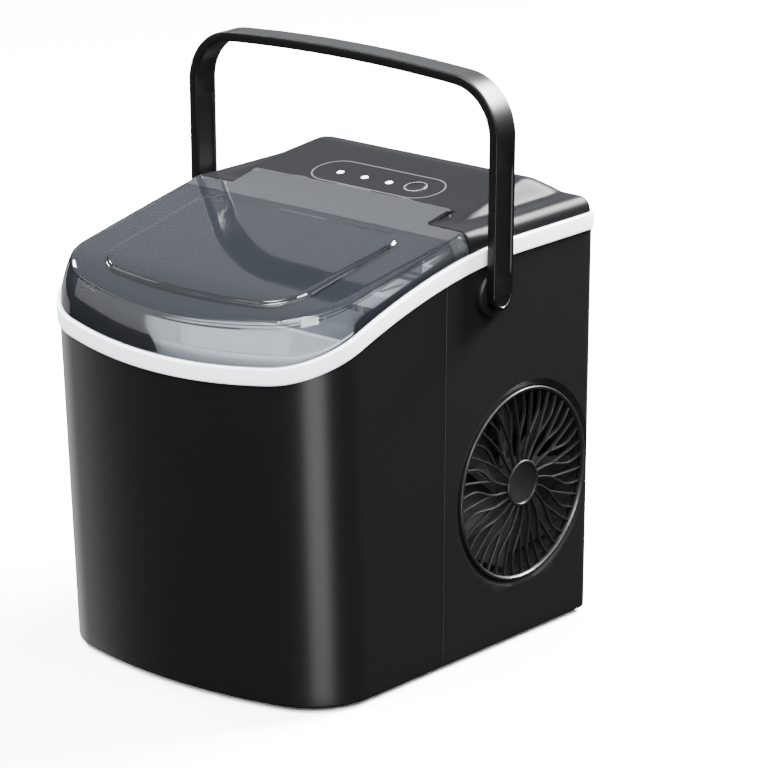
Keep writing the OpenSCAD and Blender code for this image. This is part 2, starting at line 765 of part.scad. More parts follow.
// Hot gas from the compressor's dome, forward and over to the condenser's first pass.
discharge_x = comp_x + 20;
discharge_y = comp_y - 12;
discharge_z = 150;
bend_y = 8;
module discharge_line() color("#c07a48") {
  rod_z(discharge_x, discharge_y, dome_z + 0.4, discharge_z, pipe_r);
  ball([discharge_x, discharge_y, discharge_z], pipe_r);
  rod_x(discharge_x, cond_x - 16, discharge_y, discharge_z, pipe_r);
  ball([cond_x - 16, discharge_y, discharge_z], pipe_r);
  rod_y(cond_x - 16, bend_y, discharge_y, discharge_z, pipe_r);
  ball([cond_x - 16, bend_y, discharge_z], pipe_r);
  rod_x(cond_x - 16, cond_x, bend_y, discharge_z, pipe_r);
  ball([cond_x, bend_y, discharge_z], pipe_r);
  rod_z(cond_x, bend_y, cond_top_z, discharge_z, pipe_r);
  ball([cond_x, bend_y, cond_top_z], pipe_r);
  rod_y(cond_x, bend_y, cond_y0 - 1.05, cond_top_z, pipe_r);
}

// Cold gas from the evaporator back down to the compressor.
suction_down_x = comp_x - 20;
suction_down_y = comp_y + 12;
module suction_line() color("#c07a48") {
  rod_y(suction_x, 52, suction_down_y, evap_pipe_z, pipe_r);
  ball([suction_x, suction_down_y, evap_pipe_z], pipe_r);
  rod_x(suction_down_x, suction_x, suction_down_y, evap_pipe_z, pipe_r);
  ball([suction_down_x, suction_down_y, evap_pipe_z], pipe_r);
  rod_z(suction_down_x, suction_down_y, dome_z + 0.4, evap_pipe_z, pipe_r);
}

module filter_drier() color("#c98a58") {
  rod_z(drier_x, drier_y, drier_z0, drier_z1, drier_r);
  rod_z(drier_x, drier_y, cond_low_z, drier_z0 + 1, pipe_r);
  ball([drier_x, drier_y, cond_low_z], pipe_r);
  rod_y(drier_x, bend_y, drier_y, cond_low_z, pipe_r);
  ball([drier_x, bend_y, cond_low_z], pipe_r);
  rod_x(drier_x, cond_x, bend_y, cond_low_z, pipe_r);
  ball([cond_x, bend_y, cond_low_z], pipe_r);
  rod_y(cond_x, bend_y, cond_y0 - 1.05, cond_low_z, pipe_r);
}

cap_r = 1.5;
module capillary_line() color("#c07a48") {
  rod_z(drier_x, drier_y, drier_z1 + 0.02, evap_pipe_z - 8, cap_r);
  ball([drier_x, drier_y, evap_pipe_z - 8], cap_r);
  rod_x(drier_x, evap_pipe_x, drier_y, evap_pipe_z - 8, cap_r);
  ball([evap_pipe_x, drier_y, evap_pipe_z - 8], cap_r);
  rod_z(evap_pipe_x, drier_y, evap_pipe_z - 8, evap_pipe_z, cap_r);
  ball([evap_pipe_x, drier_y, evap_pipe_z], cap_r);
  rod_y(evap_pipe_x, 52.05, drier_y, evap_pipe_z, cap_r);
}

module hot_gas_valve() color("#4f5359") {
  rod_z(valve_x, valve_y, valve_z, valve_z + 26, valve_r);
  block(valve_x - 8, valve_x + 8, valve_y - 6, valve_y + 6, valve_z - 10, valve_z + 0.5);
}

tee_z = discharge_z + 8;
module hot_gas_line() color("#c07a48") {
  rod_z(valve_x, valve_y, tee_z, valve_z - 10.02, pipe_r);
  ball([valve_x, valve_y, tee_z], pipe_r);
  rod_y(valve_x, discharge_y, valve_y, tee_z, pipe_r);
  ball([valve_x, discharge_y, tee_z], pipe_r);
  rod_z(valve_x, discharge_y, discharge_z + pipe_r + 0.05, tee_z, pipe_r);
}

finger_count = 9;
finger_pitch = 16;
ice_finger_r = 5.5;
finger_low_z = 184;
manifold_r = 5;

module evaporator() color("#c3c8cd") {
  rod_x(-66, 66, evap_y, evap_z, manifold_r);
  for (k = [0:finger_count - 1]) {
    x = (k - (finger_count - 1) / 2) * finger_pitch;
    rod_z(x, evap_y, finger_low_z, evap_z, ice_finger_r);
    ball([x, evap_y, finger_low_z], ice_finger_r);
  }
  for (s = [-1, 1]) {
    rod_z(s * evap_pipe_x, evap_y, evap_z, evap_pipe_z, pipe_r);
    ball([s * evap_pipe_x, evap_y, evap_pipe_z], pipe_r);
    rod_y(s * evap_pipe_x, evap_y, 52, evap_pipe_z, pipe_r);
  }
}

// ---------- water and ice side ----------

liner_inset = 10;
liner_t = 2;
tub_floor_z = 62;
tub_rear_y = 4;
bay_half = 87;
bay_floor_z = 166;
bay_rear_y = 72;
liner_rise = 5;
ledge_z = 120;
axis_y = 38;
axis_z = 205;

module liner_space(t) {
  intersection() {
    stepped_block(liner_inset + t, tub_set_back);
    translate([-far, -far, tub_floor_z + t]) cube([2 * far, far + tub_rear_y - t, far]);
  }
  translate([-bay_half + t, -30, bay_floor_z + t]) cube([2 * (bay_half - t), bay_rear_y + 30 - t, far]);
}

module liner() color("#8f959c") difference() {
  union() {
    difference() {
      union() {
        intersection() {
          liner_space(0);
          under_band(liner_rise);
        }
        // flange that reaches out to the shells
        difference() {
          intersection() {
            stepped_block(wall + slit, flange_set_back);
            translate([-far, -far, 0]) cube([2 * far, far + tub_rear_y, far]);
            band_region(liner_rise - liner_t, liner_rise);
          }
          translate([-bay_half, -40, 0]) cube([2 * bay_half, 100, far]);
        }
      }
      liner_space(liner_t);
    }
    // ledges for the basket
    for (s = [-1, 1]) intersection() {
      block(s * 90 - 10, s * 90 + 10, -78, -30, ledge_z - 3, ledge_z);
      stepped_block(liner_inset + 1, tub_set_back);
    }
  }
  // shaft holes, pipe notches and the drain
  rod_x(-bay_half - 2, -bay_half + 6, axis_y, axis_z, shaft_r + 0.08);
  rod_x(bay_half - 6, bay_half + 2, axis_y, axis_z, shaft_r + 0.08);
  for (s = [-1, 1]) rod_y(s * evap_pipe_x, bay_rear_y - 6, bay_rear_y + 2, evap_pipe_z, pipe_r + 1);
  rod_z(drain_port_x, drain_y, tub_floor_z - 2, tub_floor_z + 5, 4);
}

basket_x = 84;
basket_y0 = -104;
basket_y1 = -27;
basket_z0 = 120.3;
basket_z1 = 198;
basket_t = 1.8;
basket_r = 16;

module basket_plan(t) {
  inner_x = basket_x - basket_r;
  depth = basket_y1 - basket_y0;
  translate([-basket_x + t, basket_y0 + basket_r]) square([2 * (basket_x - t), depth - basket_r - t]);
  translate([-inner_x, basket_y0 + t]) square([2 * inner_x, depth - 2 * t]);
  for (s = [-1, 1]) translate([s * inner_x, basket_y0 + basket_r]) circle(basket_r - t, $fn = small_fn);
}

module ice_basket() color("#c6ccd2") difference() {
  union() {
    translate([0, 0, basket_z0]) linear_extrude(basket_z1 - basket_z0) basket_plan(0);
    translate([0, 0, basket_z1 - 2]) linear_extrude(2) basket_plan(-3);
  }
  translate([0, 0, basket_z0 + basket_t]) linear_extrude(far) basket_plan(basket_t);
  for (i = [-5:5]) {
    block(i * 14 - 2.5, i * 14 + 2.5, basket_y0 + 20, basket_y1 - 10, basket_z0 - 1, basket_z0 + 5);
    block(i * 12 - 2, i * 12 + 2, basket_y0 - 2, basket_y0 + 4, basket_z0 + 12, basket_z0 + 40);
  }
}

shaft_r = 4;
trough_r = 30;
trough_t = 1.8;
trough_half = 80;

module water_tray() color("#e3e6e9") {
  difference() {
    rod_x(-trough_half, trough_half, axis_y, axis_z, trough_r);
    rod_x(-trough_half + trough_t, trough_half - trough_t, axis_y, axis_z, trough_r - trough_t);
    block(-far, far, axis_y - 50, axis_y + 50, axis_z, axis_z + 50);
  }
  // hubs: the left one takes the motor, the right one turns in the bay wall
  rod_x(-bay_half - 2, -71, axis_y, axis_z, shaft_r);
  rod_x(71, bay_half - 0.3, axis_y, axis_z, shaft_r);
}

module tray_motor() color("#3a3c40") difference() {
  union() {
    rod_x(-bay_half - 16, -bay_half - 0.3, axis_y, axis_z, 19);
    block(-bay_half - 3, -bay_half - 0.3, axis_y - 26, axis_y + 26, axis_z - 7, axis_z + 7);
  }
  rod_x(-bay_half - 3, -bay_half + 2, axis_y, axis_z, shaft_r + 0.06);
}

comb_half = 66;
comb_y0 = -8;
comb_y1 = 28;
comb_z = 222;
comb_t = 2.4;
slot_count = 11;
slot_pitch = 11;
slot_w = 4;
arm_x = 72.7;
arm_half = 1.3;

module ice_shovel() color("#d5d9dd") difference() {
  union() {
    block(-comb_half - 8, comb_half + 8, comb_y0, comb_y1, comb_z, comb_z + comb_t);
    block(-comb_half - 8, comb_half + 8, comb_y0, comb_y0 + 2, comb_z - 6, comb_z + 0.5);
    for (s = [-1, 1]) {
      along_arm(s) polygon([[comb_y0 + 14, comb_z + 1], [comb_y1, comb_z + 1],
        [axis_y + 5, axis_z + 3], [axis_y - 3, axis_z - 6]]);
      rod_x(s * arm_x - arm_half, s * arm_x + arm_half, axis_y, axis_z, 7);
    }
  }
  for (i = [0:slot_count - 1]) translate([(i - (slot_count - 1) / 2) * slot_pitch, 0, 0])
    block(-slot_w / 2, slot_w / 2, comb_y0 + 7, comb_y1 - 6, comb_z - 1, comb_z + comb_t + 1);
  for (s = [-1, 1]) rod_x(s * arm_x - 4, s * arm_x + 4, axis_y, axis_z, shaft_r + 0.06);
}

module along_arm(s) translate([s * arm_x, 0, 0]) along_x(arm_half) children();

pump_x = -80;
pump_y = -12;
pump_r = 11;
tub_top = tub_floor_z + liner_t;

module water_pump() color("#27282b") {
  rod_z(pump_x, pump_y, tub_top, tub_top + 26, pump_r);
  rod_z(pump_x, pump_y, tub_top + 26, tub_top + 32, 3);
}

hose_r = 4;
hose_top = 236;
hose_turn_y = 30;
hose_end_x = -66;
module pump_hose() color("#dfe5e8") difference() {
  union() {
    rod_z(pump_x, pump_y, tub_top + 26.02, hose_top, hose_r);
    ball([pump_x, pump_y, hose_top], hose_r);
    rod_y(pump_x, pump_y, hose_turn_y, hose_top, hose_r);
    ball([pump_x, hose_turn_y, hose_top], hose_r);
    rod_x(pump_x, hose_end_x, hose_turn_y, hose_top, hose_r);
  }
  rod_z(pump_x, pump_y, tub_top + 20, hose_top, hose_r - 1);
  rod_y(pump_x, pump_y, hose_turn_y, hose_top, hose_r - 1);
  rod_x(pump_x, hose_end_x + 1, hose_turn_y, hose_top, hose_r - 1);
}

stem_x = 70;
stem_y = -12;
module float_stem() color("#f0f2f4") {
  rod_z(stem_x, stem_y, tub_top, tub_top + 3, 8);
  rod_z(stem_x, stem_y, tub_top, tub_top + 32, 2.4);
  rod_z(stem_x, stem_y, tub_top + 30, tub_top + 32, 5);
}

module water_float() color("#f3f1e8") translate([stem_x, stem_y, tub_top + 3.3]) tube(9, 2.9, 13);

module ice_sensor(s) color("#101012") intersection() {
  block(s * 96 - 6, s * 96 + 6, -70, -56, 206, 216);
  stepped_block(liner_inset + liner_t, tub_set_back);
}
module ice_sensor_left() ice_sensor(-1);
module ice_sensor_right() ice_sensor(1);

// ---------- electrics, cable entry and drain ----------

module main_board() color("#1f6b3a") {
  block(-103, -101.4, 44, 124, 128, 184);
  block(-101.4, -93, 96, 120, 134, 156);
  rod_x(-101.4, -92, 60, 176, 7);
  rod_x(-101.4, -94, 80, 176, 5);
  block(-101.4, -96, 52, 84, 136, 146);
}

module cord_gland() color("#0f0f10") difference() {
  union() {
    rod_y(gland_x, body_half_d - wall - 5, body_half_d + 0.2, gland_z, gland_r - 0.02);
    rod_y(gland_x, body_half_d + 0.02, body_half_d + 1.2, gland_z, gland_r + 3);
    rod_y(gland_x, body_half_d - wall - 5, body_half_d - wall - 0.1, gland_z, gland_r + 1.5);
  }
  rod_y(gland_x, body_half_d - wall - 6, body_half_d + 2, gland_z, 3.3);
}

drain_port_x = -84;
module drain_spout() color("#d6dadd") difference() {
  union() {
    rod_z(drain_port_x, drain_y, drain_z, tub_floor_z - 0.02, 6);
    ball([drain_port_x, drain_y, drain_z], 6);
    rod_x(-half_w + wall, drain_port_x, drain_y, drain_z, 6);
    rod_x(-half_w + wall, -half_w + wall + 2, drain_y, drain_z, drain_r + 4);
  }
  rod_z(drain_port_x, drain_y, drain_z, tub_floor_z + 1, 4);
  rod_x(-half_w, drain_port_x, drain_y, drain_z, 4);
}

module drain_cap() color("#151517") difference() {
  union() {
    rod_x(-half_w - 3.6, -half_w - 0.3, drain_y, drain_z, drain_r);
    rod_x(-half_w - 0.4, -half_w + 12, drain_y, drain_z, 3.94);
  }
  block(-half_w - 5, -half_w - 2.2, drain_y - 6.5, drain_y - 1.2, drain_z - 5, drain_z + 5);
  block(-half_w - 5, -half_w - 2.2, drain_y + 1.2, drain_y + 6.5, drain_z - 5, drain_z + 5);
}

// ---------- which piece to draw ----------

front_shell();
rear_shell();
trim_band();
base_pan();
foot_front_left();
foot_front_right();
foot_rear_left();
foot_rear_right();
case_screws();
top_cover();
control_film();
led_left();
led_middle();
led_right();
power_button();
button_ring();
display_board();
lid();
lid_pin_left();
lid_pin_right();
handle();
handle_boss_left();
handle_boss_right();
fan_grille();
fan_shroud();
fan_blades();
fan_motor();
condenser();
compressor();
compressor_grommets();
discharge_line();
suction_line();
filter_drier();
capillary_line();
hot_gas_valve();
hot_gas_line();
evaporator();
liner();
ice_basket();
water_tray();
tray_motor();
ice_shovel();
water_pump();
pump_hose();
float_stem();
water_float();
ice_sensor_left();
ice_sensor_right();
main_board();
cord_gland();
drain_spout();
drain_cap();
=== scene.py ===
import json
import math

import bpy
import bmesh
import numpy as np
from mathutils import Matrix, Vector


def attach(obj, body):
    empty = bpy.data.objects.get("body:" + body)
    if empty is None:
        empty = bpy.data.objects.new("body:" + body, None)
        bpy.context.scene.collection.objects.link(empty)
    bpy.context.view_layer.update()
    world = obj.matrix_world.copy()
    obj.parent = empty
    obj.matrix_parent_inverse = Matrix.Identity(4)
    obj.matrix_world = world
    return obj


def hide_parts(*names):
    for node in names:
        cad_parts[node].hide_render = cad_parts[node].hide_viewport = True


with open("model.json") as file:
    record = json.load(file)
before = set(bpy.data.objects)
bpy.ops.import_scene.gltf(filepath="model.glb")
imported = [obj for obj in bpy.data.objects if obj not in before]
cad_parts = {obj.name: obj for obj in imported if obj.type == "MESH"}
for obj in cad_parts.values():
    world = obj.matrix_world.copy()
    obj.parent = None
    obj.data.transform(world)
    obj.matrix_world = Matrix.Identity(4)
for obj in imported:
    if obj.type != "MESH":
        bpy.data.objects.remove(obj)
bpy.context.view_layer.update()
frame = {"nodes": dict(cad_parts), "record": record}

NODES = frame["nodes"]

# ---------------------------------------------------------------- camera

CAM_AZ, CAM_EL = math.radians(40.41), math.radians(17.23)
CAM_DIST = 2.5015
CAM_TARGET = Vector((0.03038, 0.03197, 0.15493))
CAM_LENS = 194.4

cam_data = bpy.data.cameras.new("camera")
camera = bpy.data.objects.new("camera", cam_data)
bpy.context.scene.collection.objects.link(camera)
back = Vector((math.sin(CAM_AZ) * math.cos(CAM_EL), -math.cos(CAM_AZ) * math.cos(CAM_EL), math.sin(CAM_EL)))
camera.location = CAM_TARGET + back * CAM_DIST
camera.rotation_mode = "QUATERNION"
camera.rotation_quaternion = (-back).to_track_quat("-Z", "Y")
cam_data.lens = CAM_LENS
cam_data.sensor_width = 36.0
cam_data.clip_start, cam_data.clip_end = 0.05, 50.0
bpy.context.scene.camera = camera

# ---------------------------------------------------------------- mesh helpers (millimetres in, metres out)

MM = 0.001


def new_object(name, verts, faces, sharp=35.0):
    """A mesh object from points in millimetres, smooth shaded, with edges over the angle kept sharp."""
    mesh = bpy.data.meshes.new(name)
    mesh.from_pydata([tuple(float(c) * MM for c in v) for v in verts], [], faces)
    bm = bmesh.new()
    bm.from_mesh(mesh)
    bmesh.ops.remove_doubles(bm, verts=bm.verts, dist=1e-6)
    bmesh.ops.dissolve_degenerate(bm, dist=1e-7, edges=bm.edges)
    bmesh.ops.recalc_face_normals(bm, faces=bm.faces)
    bm.to_mesh(mesh)
    bm.free()
    obj = bpy.data.objects.new(name, mesh)
    bpy.context.scene.collection.objects.link(obj)
    shade(obj, sharp)
    return obj


def shade(obj, sharp=35.0):
    mesh = obj.data
    mesh.polygons.foreach_set("use_smooth", [True] * len(mesh.polygons))
    mesh.set_sharp_from_angle(angle=math.radians(sharp))


def settle(obj, sharp=35.0):
    """Applies the modifiers into the mesh."""
    bpy.context.view_layer.update()
    graph = bpy.context.evaluated_depsgraph_get()
    mesh = bpy.data.meshes.new_from_object(obj.evaluated_get(graph))
    obj.modifiers.clear()
    obj.data = mesh
    shade(obj, sharp)
    return obj


def cut(obj, cutter, sharp=35.0):
    """Takes the cutter's volume out of obj."""
    mod = obj.modifiers.new("cut", "BOOLEAN")
    mod.operation = "DIFFERENCE"
    mod.solver = "EXACT"
    mod.object = cutter
    settle(obj, sharp)
    bpy.data.objects.remove(cutter)
    return obj


def grid_faces(rows, cols, close_rows=False, close_cols=False):
    faces = []
    for r in range(rows if close_rows else rows - 1):
        for c in range(cols if close_cols else cols - 1):
            a = r * cols + c
            b = r * cols + (c + 1) % cols
            d = ((r + 1) % rows) * cols + c
            e = ((r + 1) % rows) * cols + (c + 1) % cols
            faces.append((a, b, e, d))
    return faces


def piece(obj, body, material, replaced=()):
    obj.data.materials.clear()
    obj.data.materials.append(material)
    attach(obj, body)
    if replaced:
        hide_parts(*replaced)
    return obj


def join(name, objs, sharp=35.0):
    """One mesh object out of several."""
    verts, faces = [], []
    for o in objs:
        n = len(verts)
        verts += [tuple((o.matrix_world @ v.co) / MM) for v in o.data.vertices]
        faces += [tuple(n + i for i in p.vertices) for p in o.data.polygons]
        bpy.data.objects.remove(o)
    mesh = bpy.data.meshes.new(name)
    mesh.from_pydata([tuple(c * MM for c in v) for v in verts], [], faces)
    obj = bpy.data.objects.new(name, mesh)
    bpy.context.scene.collection.objects.link(obj)
    shade(obj, sharp)
    return obj


def turned(name, profile, frame_of, count=96, close=False):
    """A turned form: profile is [(radius, height)], placed by frame_of(radius vector x, y, height)."""
    verts, faces = [], []
    ring = [(math.cos(2 * math.pi * k / count), math.sin(2 * math.pi * k / count)) for k in range(count)]
    rows = []
    for r, h in profile:
        if r < 1e-6:
            rows.append([len(verts)])
            verts.append(frame_of(0.0, 0.0, h))
        else:
            rows.append(list(range(len(verts), len(verts) + count)))
            verts += [frame_of(r * c, r * s, h) for c, s in ring]
    pairs = list(zip(rows, rows[1:])) + ([(rows[-1], rows[0])] if close else [])
    for a, b in pairs:
        for k in range(count):
            m = (k + 1) % count
            if len(a) == 1 and len(b) == 1:
                continue
            if len(a) == 1:
                faces.append((a[0], b[m], b[k]))
            elif len(b) == 1:
                faces.append((a[k], a[m], b[0]))
            else:
                faces.append((a[k], a[m], b[m], b[k]))
    return new_object(name, verts, faces)


def rounded_profile(w, h, r, steps=4):
    """Closed outline of a rectangle w by h centred on the origin, corners rounded by r."""
    pts = []
    px, py = w / 2 - r, h / 2 - r
    for cx, cy, a0 in ((px, py, 0), (-px, py, 90), (-px, -py, 180), (px, -py, 270)):
        for k in range(steps + 1):
            a = math.radians(a0 + 90 * k / steps)
            pts.append((cx + r * math.cos(a), cy + r * math.sin(a)))
    return pts


# ---------------------------------------------------------------- shared shape of the case

HALF_W, HALF_D = 111.0, 135.2
BOW_R, CORNER_R, REAR_R = 306.0, 44.0, 8.0
BOW_C = BOW_R - HALF_D
CORNER_X = HALF_W - CORNER_R
CORNER_Y = BOW_C - math.sqrt((BOW_R - CORNER_R) ** 2 - CORNER_X ** 2)
SEAM_Y = -6.5
LEAN = math.sin(math.radians(2.5))
LEAN_Z = 196.0
DRAFT = 0.008
BAND_H = 10.5
BAND_PROUD = 1.5
ROOF_Z = 266.0


def band_z(y):
    u = max(0.0, 60.0 - y)
    return 245.8 - (0.00155 * u * u - 0.0000012 * u ** 3)


def roof_z(y):
    n = max(0.0, -95.0 - y)
    return ROOF_Z + 0.197 * (y - 15.0) - 0.0073 * n * n


def panel_z(y):
    return ROOF_Z + 0.16 * (y - 25.0)


def front_samples(seam=True):
    """(x, y, nx, ny) along the front half, from the right seam round to the left one."""
    out = []
    near = [0.0, 0.15, 0.35, 0.6, 0.95, 1.4, 4.0] if seam else [0.0, 4.0]
    ys = [SEAM_Y - 0.2 - d for d in near]
    ys += list(np.linspace(SEAM_Y - 8, CORNER_Y, 14))
    out += [(HALF_W, y, 1.0, 0.0) for y in ys]
    end = math.atan2(CORNER_Y - BOW_C, CORNER_X)
    for a in np.linspace(0.0, end, 26)[1:]:
        c, s = math.cos(a), math.sin(a)
        out.append((CORNER_X + CORNER_R * c, CORNER_Y + CORNER_R * s, c, s))
    for a in np.linspace(end, -math.pi / 2, 22)[1:]:
        out.append((BOW_R * math.cos(a), BOW_C + BOW_R * math.sin(a), math.cos(a), math.sin(a)))
    return out + [(-x, y, -nx, ny) for x, y, nx, ny in reversed(out[:-1])]


def rear_samples():
    """(x, y, nx, ny) along the rear half, from the left seam round to the right one."""
    ys = [SEAM_Y + 0.2 + d for d in (0.0, 0.15, 0.35, 0.6, 0.95, 1.4, 4.0)]
    ys += list(np.linspace(SEAM_Y + 8, HALF_D - REAR_R, 30))
    out = [(-HALF_W, y, -1.0, 0.0) for y in ys]
    for a in np.linspace(math.pi, math.pi / 2, 13)[1:]:
        c, s = math.cos(a), math.sin(a)
        out.append((-HALF_W + REAR_R + REAR_R * c, HALF_D - REAR_R + REAR_R * s, c, s))
    out += [(x, HALF_D, 0.0, 1.0) for x in np.linspace(-HALF_W + REAR_R, 0, 12)[1:]]
    return out + [(-x, y, -nx, ny) for x, y, nx, ny in reversed(out[:-1])]


def case_point(s, inset, z):
    """A point of the case's side at height z, drawn inward; the sides taper and the front leans."""
    x, y, nx, ny = s
    px, py = x - nx * inset, y - ny * inset
    w = min(1.0, max(0.0, (SEAM_Y - y) / (SEAM_Y - CORNER_Y)))
    return (px * (1.0 - DRAFT * (256.0 - z) / HALF_W), py + w * LEAN * (LEAN_Z - z), z)


def seam_inset(s):
    """Rounding of the shell's edge where the two shells meet."""
    d = abs(s[1] - SEAM_Y) - 0.2
    r = 1.0
    return 0.0 if d >= r or abs(s[2]) < 0.99 else r - math.sqrt(max(0.0, r * r - (r - d) ** 2))


WALL = 2.5
EDGE_ROWS = ((1.9, 3.0), (1.2, 3.05), (0.65, 3.3), (0.3, 3.75), (0.08, 4.4), (0.0, 5.2))


def shell(name, samples, rows=30):
    """One half of the outer case as a closed solid, with rounded lower edge and seam edges."""
    cols = []
    for s in samples:
        top = band_z(s[1]) + 9.8
        extra = seam_inset(s)
        col = [case_point(s, WALL, 3.0)]
        col += [case_point(s, min(WALL - 0.3, i + extra), z) for i, z in EDGE_ROWS]
        col += [case_point(s, extra, z) for z in np.linspace(5.2, top, rows)[1:]]
        col += [case_point(s, WALL, z) for z in np.linspace(top, 3.0, 8)[:-1]]
        cols.append(col)
    n = len(cols[0])
    verts = [p for col in cols for p in col]
    faces = grid_faces(len(cols), n, close_cols=True)
    faces.append(tuple(range(n)))
    faces.append(tuple(reversed(range((len(cols) - 1) * n, len(cols) * n))))
    return new_object(name, verts, faces)

# ---------------------------------------------------------------- case shells and band


def side_frame(x0, y0, z0):
    """Places a turned form on the right side: its height runs to +X."""
    return lambda u, v, h: (x0 + h, y0 + u, z0 + v)


FAN_Y, FAN_Z = 69.0, 99.5
GRILLE_R = 60.0


def side_x(z):
    """Outer face of the right side at height z."""
    return HALF_W - DRAFT * (256.0 - z)


def rounded_block(name, size, centre, r, steps=3, axis=0):
    """A bar whose cross-section corners are rounded; it runs along the axis."""
    a, b = [i for i in range(3) if i != axis]
    ring = rounded_profile(size[a], size[b], r, steps)
    verts = []
    for e in (-0.5, 0.5):
        for u, v in ring:
            p = [0.0, 0.0, 0.0]
            p[axis], p[a], p[b] = size[axis] * e, u, v
            verts.append(tuple(p[i] + centre[i] for i in range(3)))
    n = len(ring)
    faces = [(k, (k + 1) % n, n + (k + 1) % n, n + k) for k in range(n)]
    faces += [tuple(range(n)), tuple(reversed(range(n, 2 * n)))]
    return new_object(name, verts, faces)


front = shell("front_shell_skin", front_samples())
rear = shell("rear_shell_skin", rear_samples(), rows=34)

recess = [(0.0, -12.0), (GRILLE_R + 0.4, -12.0), (GRILLE_R + 0.4, -1.9), (GRILLE_R + 0.9, -1.5),
          (GRILLE_R + 3.4, -0.5), (GRILLE_R + 4.0, -0.15), (GRILLE_R + 5.4, 1.0), (0.0, 1.0)]
cut(rear, turned("recess_cutter", recess, side_frame(side_x(FAN_Z), FAN_Y, FAN_Z), 144))
louvres = []
for i in range(11):
    z = 60.0 + 9.0 * i
    louvres.append(rounded_block(f"louvre_a{i}", (70.0, 12.0, 4.0), (0.0, HALF_D, z + 2.0), 1.9, 4, axis=1))
    louvres.append(rounded_block(f"louvre_b{i}", (12.0, 90.0, 4.0), (-HALF_W, 69.0, z + 2.0), 1.9, 4, axis=0))
cut(rear, join("louvre_cutter", louvres))
GLAND = (-78.0, 34.0)
cut(rear, turned("gland_cutter", [(0.0, -9.0), (7.2, -9.0), (7.2, 5.0), (0.0, 5.0)],
                 lambda u, v, h: (GLAND[0] + u, HALF_D + h, GLAND[1] + v), 48))
cut(front, turned("drain_cutter", [(0.0, -9.0), (4.6, -9.0), (4.6, 5.0), (0.0, 5.0)],
                  lambda u, v, h: (-HALF_W - h, -52.0 + u, 26.0 + v), 48))


def band_loop():
    """Cross-section of the band as (inset, height) round a closed loop."""
    r = 1.1
    turns = np.linspace(0.0, math.pi / 2, 6)
    pts = [(2.3, 0.25), (0.0, 0.1)]
    pts += [(-BAND_PROUD + r - r * math.sin(a), r - r * math.cos(a)) for a in turns]
    pts += [(-BAND_PROUD, z) for z in (4.0, 7.0)]
    pts += [(-BAND_PROUD + r - r * math.cos(a), BAND_H - r + r * math.sin(a)) for a in turns]
    return pts + [(0.0, BAND_H), (2.3, BAND_H - 0.15)]


def band_samples():
    right = front_samples(seam=False)
    rear_half = rear_samples()
    return [s for s in right[1:-1]] + [s for s in rear_half if abs(s[0]) < 110.99 or s[1] > SEAM_Y + 1.0]


def swept_band(name):
    cols = []
    for s in band_samples():
        z0 = band_z(s[1])
        cols.append([case_point(s, i, z0 + h) for i, h in band_loop()])
    faces = grid_faces(len(cols), len(cols[0]), close_rows=True, close_cols=True)
    return new_object(name, [p for c in cols for p in c], faces)


band = swept_band("white_band")

# ---------------------------------------------------------------- lid

LID_INSET = 0.9
LID_GAP = BAND_H + 0.7
SHOULDER_FRONT, SHOULDER_SIDE = 8.6, 6.7
TONGUE_X, TONGUE_Y = 76.6, 38.2
LID_REAR = 15.0
WIN_X, WIN_Y0, WIN_Y1 = 79.0, -113.0, -5.0


def lid_columns():
    """(base point, shoulder point) pairs from the lid's right rear corner round the front to the left one."""
    cols = []
    samples = [(HALF_W, y, 1.0, 0.0) for y in np.linspace(LID_REAR, SEAM_Y - 4, 9)[:-1]]
    samples += front_samples(seam=False)[1:-1]
    samples += [(-x, y, -nx, ny) for x, y, nx, ny in reversed(samples[:8])]
    for s in samples:
        base_z = band_z(s[1]) + LID_GAP
        base = case_point(s, LID_INSET, base_z)
        front_share = max(0.0, -s[3])
        inset = SHOULDER_SIDE + (SHOULDER_FRONT - SHOULDER_SIDE) * front_share
        top = case_point(s, inset, base_z + 18.0)
        shoulder_y = top[1] if s[1] < SEAM_Y - 8 else s[1]
        cols.append((base, (top[0], shoulder_y, roof_z(shoulder_y) + crown(top[0]))))
    return cols


def crown(x):
    """The roof is very slightly crowned across."""
    return 0.6 - 0.6 * (x / 104.0) ** 2


def window_point(angle):
    """Where a ray from the window's middle meets its outline; the front edge is bowed like the case."""
    cx, cy = 0.0, 0.5 * (WIN_Y0 + WIN_Y1)
    dx, dy = math.cos(angle), math.sin(angle)
    lo, hi = 0.0, 200.0
    for _ in range(34):
        t = 0.5 * (lo + hi)
        if window_inside(cx + dx * t, cy + dy * t, 0.0):
            lo = t
        else:
            hi = t
    return cx + dx * lo, cy + dy * lo


def window_inside(x, y, inset):
    hx = WIN_X - inset - 0.05 * max(0.0, -y - 20.0) * 0.4
    front = WIN_Y0 + inset + (x / 79.0) ** 2 * 8.0
    rear = WIN_Y1 - inset
    if abs(x) > hx or y > rear or y < front:
        return False
    r = (20.0 if y < -60 else 13.0) - inset
    ex = abs(x) - (hx - r)
    ey = (front + r) - y if y < -60 else y - (rear - r)
    return not (ex > 0 and ey > 0 and ex * ex + ey * ey > r * r)


WIN_STEP = 1.5


def step_painted_shade_zone(point, normal):
    """1 for the step round the window, which takes the darker smoke of painted shade, 0 for the rest of the
    lid.
    """
    x, y, z = point / MM
    if z < roof_z(y) + crown(x) - 3.0 or abs(normal.z) < 0.3:
        return 0
    return int(window_inside(x, y, -0.3) and not window_inside(x, y, WIN_STEP - 0.1))


